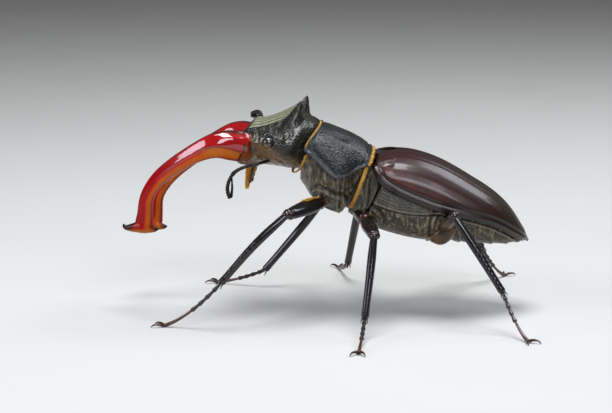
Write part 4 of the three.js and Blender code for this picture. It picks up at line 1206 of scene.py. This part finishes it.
BRUSH_PATH = Path((-18.5, 0, -11.9), (-18.1, 0, -13.8), (-17.7, 0, -15.6), (-17.4, 0, -16.6))


# ------------------------------------------------------------------ legs

# Hip, knee, ankle and toe of each leg in the frame of the whole, its feet just above the floor.
STANCE = {
    "front_left": [(0.2, -4.6, 20.6), (-7.1, -14.7, 19.6), (-18.4, -17.6, 8.2), (-28.4, -15.4, 0.24)],
    "front_right": [(0.2, 4.6, 20.6), (-1.2, 15.6, 16.0), (-11.5, 18.0, 3.2), (-20.6, 21.4, 0.24)],
    "mid_left": [(6.6, -4.6, 17.2), (7.9, -16.9, 16.3), (6.2, -24.2, 3.6), (4.9, -35.3, 0.24)],
    "mid_right": [(6.6, 4.6, 17.2), (6.2, 17.0, 15.8), (4.2, 24.2, 3.2), (2.6, 35.3, 0.24)],
    "hind_left": [(20.3, -4.2, 14.9), (21.7, -15.9, 19.6), (29.8, -20.4, 7.2), (33.6, -27.2, 0.24)],
    "hind_right": [(20.3, 4.2, 14.9), (21.9, 15.9, 19.4), (29.4, 20.6, 7.0), (34.4, 27.6, 0.24)],
}
# Spines of the shin: share along it, and 1 on its outer edge or -1 on its inner one.
TIBIA_SPINES = {
    "front": [(0.45, 1), (0.62, 1), (0.8, 1), (0.97, 1)],
    "mid": [(0.5, 1), (0.96, -1)],
    "hind": [(0.5, 1), (0.96, -1)],
}
TIBIA_BOW = {"front": 1.1, "mid": 0.3, "hind": 0.2}

femur_profile = through((0, 0.95), (0.3, 1.22), (0.7, 1.10), (0.92, 0.94), (1, 0.75))
tibia_profile = through((0, 1.15), (0.1, 1.28), (0.3, 1.35), (0.6, 1.25), (0.9, 1.15), (1, 1.3))


def towards(start, end, distance):
    """Point at a distance from start on the way to end."""
    return start + unit(end - start) * distance


def thigh_path(hip, knee):
    """Line of a thigh, from inside its hip to the knee."""
    return Path(towards(hip, knee, 2.45), knee)


def thigh_scale(v, a):
    """A keel along the upper edge, a furrow below towards the knee, and a knob and a waist at the knee."""
    keel = 0.05 * bell(np.sin(a), 1, 0.25) - 0.10 * bell(np.sin(a), -1, 0.30) * smooth(v, 0.55, 0.9)
    knob = 0.10 * bell(v, 0.955, 0.03) - 0.07 * bell(v, 0.90, 0.025)
    return 1 + keel + knob


def shin_scale(v, a):
    """Ribs along the shin, 0.06 cos 4a + 0.03 cos 8a, and small teeth along its outer edge."""
    ribs = (0.06 * np.cos(4 * a) + 0.03 * np.cos(8 * a)) * smooth(v, 0.08, 0.3) * (1 - 0.5 * smooth(v, 0.9, 1))
    bumps = 0.05 * np.sin(TURN * v * 17) * np.clip(np.cos(a), 0, 1) ** 2 * smooth(v, 0.3, 0.5)
    return 1 + ribs + bumps


def spine(points, root, power, point, sides, count, plane=(0, 0, 1), ends=(0.03, 0.06), marks=(0, 0, 0)):
    """Spine of radius root (1 - s)^power + point along a line."""
    return tube(Path(*points), lambda s: [root * (1 - s) ** power + point] * 2, sides, count, plane, ends, marks)


def hip_parts(pair, hip, knee, plane):
    """Hip, its ring, and in the hind leg a broad lobe: a ball whose sides are squared by the power 0.72."""
    side = np.sign(hip[1])
    line = Path(hip + (-0.4, -side * 2.6, 1.2), towards(hip, knee, 2.05))
    half = lambda u: [1.75 - 0.72 * u ** 2, 1.9 - 0.82 * u ** 2]
    parts = [tube(line, half, 40, 40, plane, (0.1, 0.16), (lambda v: smooth(v, 0.78, 0.95), 0, 0))]
    if pair == "hind":
        lobe = ball((0, 0, 0), (1, 1, 1), rows=60, sides=80)
        squarer = np.sign(lobe.points) * np.abs(lobe.points) ** 0.72
        lobe.points = squarer * (2.1, 4.3, 3.0) + (17.0, side * 4.7, -7.3)
        lobe.points[:, 0] += 0.25 * (lobe.points[:, 2] + 7.3)
        lobe.marks[:, 0] = 0.6 * smooth(lobe.points[:, 2], -7.0, -5.0)
        parts.append(lobe.moved(TRUNK))
    ring = Path(towards(hip, knee, 1.75), towards(hip, knee, 3.1))
    parts.append(tube(ring, lambda u: [0.86 - 0.1 * u, 1.06 - 0.1 * u], 32, 20, plane, (0.25, 0.3), (0.5, 0, 0)))
    return parts


def shin_parts(pair, knee, ankle, plane):
    """Shin, knee ball, spines along its edges and two spurs at its end."""
    along = unit(ankle - knee)
    outwards = unit(np.cross(along, plane))
    middle = lerp(knee, ankle, 0.45) + outwards * TIBIA_BOW[pair]
    line = Path(towards(knee, ankle, -0.2), middle, ankle)
    half = lambda u: [0.45 * tibia_profile(u), 0.52 * tibia_profile(u)]
    worn = lambda v: 0.25 * (1 - smooth(v, 0.0, 0.05))
    parts = [tube(line, half, 36, 90, plane, (0.03, 0.02), (worn, 0, 0), shin_scale),
             ball(knee, (0.78, 0.78, 0.78), (0.15, 0, 0), 20, 24)]
    for share, which in TIBIA_SPINES[pair]:
        root = line.at(share) + outwards * 0.15 * which
        tip = root + outwards * 1.15 * which + along * 0.72
        bent = lerp(root, tip, 0.5) + outwards * 0.12 * which
        parts.append(spine((root, bent, tip), 0.32, 0.8, 0.05, 14, 18, plane))
    for hand in (-1, 1):
        root = line.at(0.975) + plane * 0.28 * hand
        tip = root + along * 1.25 + plane * 0.35 * hand - outwards * 0.35
        parts.append(spine((root, tip), 0.15, 0.8, 0.03, 12, 14, outwards))
    return parts


def foot_parts(ankle, toe):
    """Foot: four short joints and a long one on a curve (1 - s)^2 start + 2 s (1 - s) landing + s^2 toe, then two
    claws and the pad between them, none lower than the floor."""
    landing = lerp(ankle, toe, 0.55)
    landing[2] = lerp(ankle[2], toe[2], 0.8)
    start = towards(ankle, landing, -0.12)
    s = np.linspace(0, 1, 40)[:, None]
    line = Path(*((1 - s) ** 2 * start + 2 * s * (1 - s) * landing + s * s * toe)[::3])
    cuts = [0, 0.15, 0.29, 0.42, 0.55, 1]
    short = lambda w: [(0.25 + 0.20 * w ** 1.6) * (1 - 0.25 * smooth(w, 0.92, 1))] * 2
    long = lambda w: [0.23 + 0.13 * w ** 1.5] * 2
    parts = []
    for k, (first, last) in enumerate(zip(cuts, cuts[1:])):
        part = Path(*line.at(np.linspace(first, min(last + 0.008, 1), 7)))
        if k < 4:
            parts.append(tube(part, short, 22, 24, ends=(0.10, 0.12), marks=(0.06 * k, 0, 0)))
        else:
            parts.append(tube(part, long, 22, 30, ends=(0.04, 0.06), marks=(0.62, 0, 0)))
    ahead = unit((toe - landing) * (1, 1, 0))
    for hand in (-1, 1):
        beside = np.array([-ahead[1], ahead[0], 0]) * hand
        steps = [(-0.1, 0.02, toe[2]), (0.3, 0.28, 0.55), (0.72, 0.52, 0.5), (0.95, 0.6, 0.12)]
        points = [toe * (1, 1, 0) + 2.1 * (f * ahead + g * beside) + (0, 0, h) for f, g, h in steps]
        parts.append(spine(points, 0.24, 0.7, 0.05, 18, 26, ends=(0.06, 0.03), marks=(0.35, 0, 0)))
    pad = [toe + ahead * reach + (0, 0, up) for reach, up in ((0.1, 0.06), (0.6, 0.02), (0.95, -0.05))]
    parts.append(tube(Path(*pad), lambda w: [0.09 - 0.04 * w] * 2, 10, 12, ends=(0.1, 0.1), marks=(0.5, 0, 0)))
    for part in parts:
        part.points[:, 2] = np.maximum(part.points[:, 2], 0.0)
    return parts


def leg_parts(name):
    """The parts of one leg: hip and its ring, thigh, shin with its spines, five-jointed foot and claws.
    Most are tubes along the lines between its joints, turned into the plane of hip, knee and ankle."""
    pair = name.split("_")[0]
    hip, knee, ankle, toe = (np.array(p, float) for p in STANCE[name])
    plane = unit(np.cross(knee - hip, ankle - knee))

    def worn(v):
        if pair == "hind":
            return smooth(v, 0.45, 0.85)
        return 0.15 * smooth(v, 0.93, 1.0) + 0.35 * (1 - smooth(v, 0.0, 0.06))

    half = lambda u: [0.85 * femur_profile(u), 1.15 * femur_profile(u)]
    thigh = tube(thigh_path(hip, knee), half, 44, 70, plane, (0.03, 0.045), (worn, 0, 0), thigh_scale)
    return {"hip": hip_parts(pair, hip, knee, plane), "thigh": [thigh],
            "shin": shin_parts(pair, knee, ankle, plane), "foot": foot_parts(ankle, toe)}


# ------------------------------------------------------------------ hair

HAIR_STEPS = np.array([0.0, 0.35, 0.7])
HAIR_SIDES = 3
HAIR_PATCH = 0.003


def hairs(roots, ends, sag, width, where, seed):
    """Tapered hairs, three-sided: p(s) = root + (end - root) s + sag s^2 for s = 0, 0.35, 0.7, 1, and
    width (1 - s)^0.7. The bake map lays each hair in a small patch at its root's place on the skin's unwrap."""
    n = len(roots)
    rng = np.random.default_rng(seed)
    s = HAIR_STEPS[None, :, None, None]
    run = (ends - roots)[:, None, None]
    heading = unit(ends - roots)
    side = unit(np.cross(heading, (0.31, 0.17, 0.93)))
    up = np.cross(side, heading)
    a = rng.uniform(0, TURN, n)[:, None] + around(HAIR_SIDES)
    spread = np.cos(a)[..., None] * side[:, None] + np.sin(a)[..., None] * up[:, None]
    thick = np.broadcast_to(width, (n,))[:, None, None, None] * (1 - s) ** 0.7
    rings = roots[:, None, None] + run * s + sag[:, None, None] * s * s + spread[:, None] * thick
    points = np.concatenate([rings.reshape(n, -1, 3), (ends + sag)[:, None]], axis=1)
    per = points.shape[1]
    k = np.arange(HAIR_SIDES)
    nxt = (k + 1) % HAIR_SIDES
    faces = [np.stack([k + r, nxt + r, nxt + r + HAIR_SIDES, k + r + HAIR_SIDES], -1) for r in (0, HAIR_SIDES)]
    last = 2 * HAIR_SIDES
    faces.append(np.stack([k + last, nxt + last, 0 * k + per - 1, 0 * k - 1], -1))
    faces.append(np.array([[2, 1, 0, -1]]))
    faces = np.vstack(faces)
    shifted = faces[None] + (np.arange(n) * per)[:, None, None]
    everywhere = np.where(faces[None] >= 0, shifted, -1).reshape(-1, 4)
    along = np.r_[np.repeat(HAIR_STEPS, HAIR_SIDES), 1.0]
    shade = rng.uniform(0, 1, n)
    marks = np.stack(np.broadcast_arrays(along[None, :], shade[:, None], 0.0), -1).reshape(-1, 3)
    angle = np.r_[np.tile(k / HAIR_SIDES, 3), 0.5]
    patch = np.stack([along, angle], -1)[None] * HAIR_PATCH + where[:, None]
    return Surface(points.reshape(-1, 3), everywhere, None, marks, patch.reshape(-1, 2))


def add_hair(name, coats, finish):
    """A coat piece with its bake map."""
    obj = add_piece(name, coats, finish)
    spots = np.vstack([c.bake for c in coats])
    corners = np.empty(len(obj.data.loops), int)
    obj.data.loops.foreach_get("vertex_index", corners)
    obj.data.uv_layers.new(name="OFBake").data.foreach_set("uv", spots[corners].ravel())


def margin_hair(line, outward, back, count, length, width, seed, band):
    """Hairs along a margin: roots scattered over a band beside line(v), v from 0 to 1, each lying towards `back`
    with a little of `outward` and some scatter."""
    rng = np.random.default_rng(seed)
    v = np.sort(rng.uniform(0, 1, count))
    lane = rng.uniform(0, 1, count)
    ease = smooth(v, 0, 0.04) * (1 - smooth(v, 0.96, 1))
    out = outward(v)
    lie = back(v)
    roots = line(v) - lie * (band * lane)[:, None] - out * 0.10 * lane[:, None]
    reach = length * rng.uniform(0.65, 1.1, count) * (0.55 + 0.45 * ease)
    cast = unit(lie + out * rng.uniform(0.05, 0.35, count)[:, None] + rng.normal(0, 0.12, (count, 3)))
    where = np.stack([0.04 + 0.9 * v, 0.04 + 0.1 * lane], -1)
    widths = width * rng.uniform(0.7, 1.2, count)
    return hairs(roots, roots + cast * reach[:, None], -out * 0.12 * reach[:, None], widths, where, seed)


# ------------------------------------------------------------------ putting the beetle together

horn = horn_finish()
lacquer = wing_case_finish()
grain = shield_finish()
skull = head_finish()
facets = eye_finish()
black = leg_finish()
plates = belly_finish()
hip_horn = hip_finish()
feeler_black = leg_finish("feeler_lacquer", (0.006, 0.005, 0.005), (0.020, 0.010, 0.008), 0.12)
gold = hair_finish("golden_fringe", (0.50, 0.20, 0.022), (0.85, 0.47, 0.070))
amber_hair = hair_finish("amber_brush", (0.60, 0.19, 0.008), (1.0, 0.50, 0.025), 0.35)
case = elytron()
for name, surface, finish, slot, node, crease in (
    ("wing_case_right", case, lacquer, "elytra", "elytron_right", 50),
    ("wing_case_left", case.mirrored(), lacquer, "elytra", "elytron_left", 50),
    ("scutellum_plate", scutellum(), grain, "pronotum", "scutellum", 50),
    ("shield", shield(), grain, "pronotum", "pronotum", 50),
    ("breast_front", prothorax(), plates, "underside", "prothorax", 60),
    ("breast_middle", mesothorax(), plates, "underside", "mesothorax", 60),
    ("breast_hind", metathorax(), plates, "underside", "metathorax", 60),
    ("hind_body", abdomen(), plates, "underside", "abdomen", 60),
):
    add_piece(name, [surface.moved(TRUNK)], finish, [node], crease)

add_piece("skull", [head().moved(HEAD)], skull, ["head"], 60)
add_piece("upper_lip", [labrum().moved(HEAD)], hip_horn, ["labrum"])
jaw, eyeball, mouth_palp = mandible_skin(), eye(), palp()
for hand in ("left", "right"):
    left = hand == "left"
    for name, surfaces, finish, slot, node in (
        ("jaw", [jaw.mirrored() if left else drooped(jaw)], horn, "mandible", "mandible"),
        ("eyeball", [eyeball.mirrored() if left else eyeball], facets, "eye", "eye"),
        ("mouth_palp", [s.mirrored() if left else s for s in mouth_palp], hip_horn, "leg", "palp"),
        ("feeler_shaft", scape(FEELERS[hand]["scape"]), feeler_black, "leg", "antenna_scape"),
        ("feeler_club", club(*(FEELERS[hand][k] for k in ("club", "inner", "bulk"))), feeler_black, "leg",
         "antenna_club"),
    ):
        add_piece(f"{name}_{hand}", [s.moved(HEAD) for s in surfaces], finish, [f"{node}_{hand}"])

for leg in STANCE:
    upper = hip_horn if leg.startswith("hind") else black
    parts = leg_parts(leg)
    for name, finish, slot, node in (
        ("hip", upper, "coxa", "coxa"), ("thigh", upper, "leg", "femur"),
        ("shin", black, "leg", "tibia"), ("foot", black, "leg", "tarsus"),
    ):
        add_piece(f"{name}_{leg}", parts[name], finish, [f"{node}_{leg}"])


def trunk_way(vectors):
    """Unit directions of the trunk's frame, turned into the frame of the whole."""
    return unit(np.array(vectors, float) @ TRUNK[:3, :3].T)


def shield_margin(x):
    """The shield's outline at station x, just under its face, as a line from its right edge to its left."""
    def line(v):
        t = lerp(0.02, np.pi - 0.02, v)
        under = np.stack([0 * v, 0.1 * np.cos(t), 0.12 + 0 * v], -1)
        return placed(shield_point(np.full_like(v, x), t) - under, TRUNK)
    return line


def round_trunk(v):
    """Outward direction at share v of a margin that runs over the back from right to left."""
    t = lerp(0.0, np.pi, v)
    return trunk_way(np.stack([0 * v, np.cos(t), np.sin(t)], -1))


forwards = lambda v: np.broadcast_to(trunk_way([[-1, 0, -0.15]]), (len(v), 3))
backwards = lambda v: np.broadcast_to(trunk_way([[1, 0, -0.05]]), (len(v), 3))

fringes = [
    margin_hair(shield_margin(-10.25), round_trunk, forwards, 1500, 0.46, 0.040, 11, 0.08),
    margin_hair(shield_margin(-0.35), round_trunk, backwards, 1800, 0.85, 0.045, 12, 0.12),
]
for side in (-1, 1):
    for points, bend, lie, count, length, width, seed, band in (
        ([(-0.55, 7.0, -2.6), (-0.3, 7.9, -4.9), (-0.1, 8.0, -7.4), (0.1, 6.6, -9.4), (0.15, 4.6, -10.9)],
         1.3, backwards, 900, 0.75, 0.045, 13, 0.12),
        ([(-10.7, 7.9, -5.2), (-10.5, 7.4, -6.6), (-10.5, 5.2, -8.4), (-10.9, 3.0, -9.6), (-11.2, 0.3, -9.9)],
         1.5, forwards, 800, 0.50, 0.040, 17, 0.10),
    ):
        path = Path(*(np.array(points) * (1, side, 1)))
        line = lambda v, p=path: placed(p.at(v), TRUNK)
        outward = lambda v, s=side, b=bend: trunk_way(np.stack([0 * v, s * np.cos(v * b), -np.sin(v * b)], -1))
        fringes.append(margin_hair(line, outward, lie, count, length, width, seed + side, band))
add_hair("golden_margins", fringes, gold)

patches = []
for k, hand in enumerate(("left", "right")):
    line = thigh_path(*np.array(STANCE[f"front_{hand}"][:2], float))
    rng = np.random.default_rng(31 + k)
    count = 700
    share = rng.uniform(0.0, 0.42, count)
    angle = rng.uniform(-0.5, 0.5, count)
    heading = line.heading(share)
    upper = np.array([-0.45, -0.35 if hand == "left" else 0.35, 0.82])
    upper = unit(upper - (heading @ upper)[:, None] * heading)
    beside = np.cross(upper, heading)
    out = unit(upper * np.cos(angle)[:, None] + beside * np.sin(angle)[:, None])
    roots = line.at(share) + out * (0.96 * femur_profile(share))[:, None]
    reach = rng.uniform(0.5, 0.95, count)
    cast = unit(heading * 0.9 + out * 0.40 + rng.normal(0, 0.1, (count, 3)))
    where = np.stack([0.04 + 2.0 * share, 0.4 + 0.4 * (angle + 0.5)], -1)
    patches.append(hairs(roots, roots + cast * reach[:, None], 0 * roots, 0.035, where, 41 + k))
add_hair("golden_thigh_patch", patches, gold)

rng = np.random.default_rng(51)
count = 900
share = rng.uniform(0, 0.9, count)
angle = rng.uniform(0, TURN, count)
heading = BRUSH_PATH.heading(share)
side = unit(np.cross(heading, (0, 1, 0)))
out = np.cos(angle)[:, None] * side * 0.85 + np.sin(angle)[:, None] * np.array([0, 1, 0]) * 0.55
roots = BRUSH_PATH.at(share) + out * (1.0 - 0.80 * share)[:, None]
cast = unit(heading + 0.12 * out + rng.normal(0, 0.06, (count, 3)))
reach = rng.uniform(0.6, 1.2, count) * (1 - 0.45 * share)
where = np.stack([0.04 + 0.9 * share, 0.04 + 0.9 * angle / TURN], -1)
core = tube(BRUSH_PATH, lambda u: [1.0 - 0.80 * u, 0.50 - 0.36 * u], 24, 40, (0, 1, 0), (0.1, 0.1), (0.9, 0.2, 0))
brush = hairs(roots, roots + cast * reach[:, None], 0 * roots, 0.055, where, 52)
add_piece("mouth_brush_core", [core.moved(HEAD)], amber_hair, ["mouth_brush"])
add_hair("mouth_brush_hair", [brush.moved(HEAD)], amber_hair)


# ------------------------------------------------------------------ floor, light and camera

FLOOR_SIZE = 6
bpy.ops.mesh.primitive_plane_add(size=FLOOR_SIZE, location=(0, 0, 0))
floor = bpy.context.object
floor.name = "studio_floor"
floor.data.materials.append(floor_finish())


def softbox(name, place, aim, size, power, colour):
    """Soft light of a size in metres, turned to face a point."""
    data = bpy.data.lights.new(name, "AREA")
    data.shape = "RECTANGLE"
    data.size, data.size_y = size
    data.energy = power
    data.color = colour
    light = bpy.data.objects.new(name, data)
    bpy.context.scene.collection.objects.link(light)
    turn_to(light, place, aim)


def turn_to(obj, place, aim):
    """Puts a light or camera at a place, facing a point, with its upper side up."""
    place, aim = np.array(place, float), np.array(aim, float)
    back = unit(place - aim)
    right = unit(np.cross((0, 0, 1), back))
    up = np.cross(back, right)
    pose = np.eye(4)
    pose[:3] = np.stack([right, up, back, place], -1)
    obj.matrix_world = Matrix(pose)


TARGET = np.array([-3.75, 0, 18.5]) * MM
# Soft lights: place (m), size (m), power (W), colour.
PANELS = {
    "overhead_panel": ((0.01, -0.01, 0.45), (0.24, 0.20), 2.1, (0.95, 0.97, 1.0)),
    "rear_sky_panel": ((0.25, 0.165, 0.34), (0.22, 0.16), 0.6, (0.88, 0.93, 1.0)),
    "near_panel": ((0.12, -0.36, 0.31), (0.30, 0.16), 1.2, (0.84, 0.90, 1.0)),
    "left_panel": ((-0.36, -0.13, 0.20), (0.15, 0.22), 0.75, (0.86, 0.86, 1.0)),
}
for name, (place, size, power, colour) in PANELS.items():
    softbox(name, place, TARGET, size, power, colour)

ROOM_LIGHT, ROOM_STRENGTH = (0.86, 0.86, 0.83, 1), 0.11
world = bpy.data.worlds.new("studio")
world.use_nodes = True
room = world.node_tree.nodes["Background"]
room.inputs[0].default_value = ROOM_LIGHT
room.inputs[1].default_value = ROOM_STRENGTH
bpy.context.scene.world = world
bpy.context.scene.view_settings.view_transform = "Standard"

# Picture width and focal length in the same unit, sensor width in mm, the camera's distance in m, its tilt down.
FRAME_WIDTH, FOCAL, SENSOR, REACH = 612, 2240, 36, 0.4
tilt = np.radians(10)
lens = bpy.data.cameras.new("camera")
lens.sensor_width = SENSOR
lens.lens = FOCAL / FRAME_WIDTH * SENSOR
lens.clip_start = 0.01
camera = bpy.data.objects.new("camera", lens)
bpy.context.scene.collection.objects.link(camera)
turn_to(camera, TARGET + REACH * np.array([0, -np.cos(tilt), np.sin(tilt)]), TARGET)
bpy.context.scene.camera = camera

bpy.context.view_layer.update()
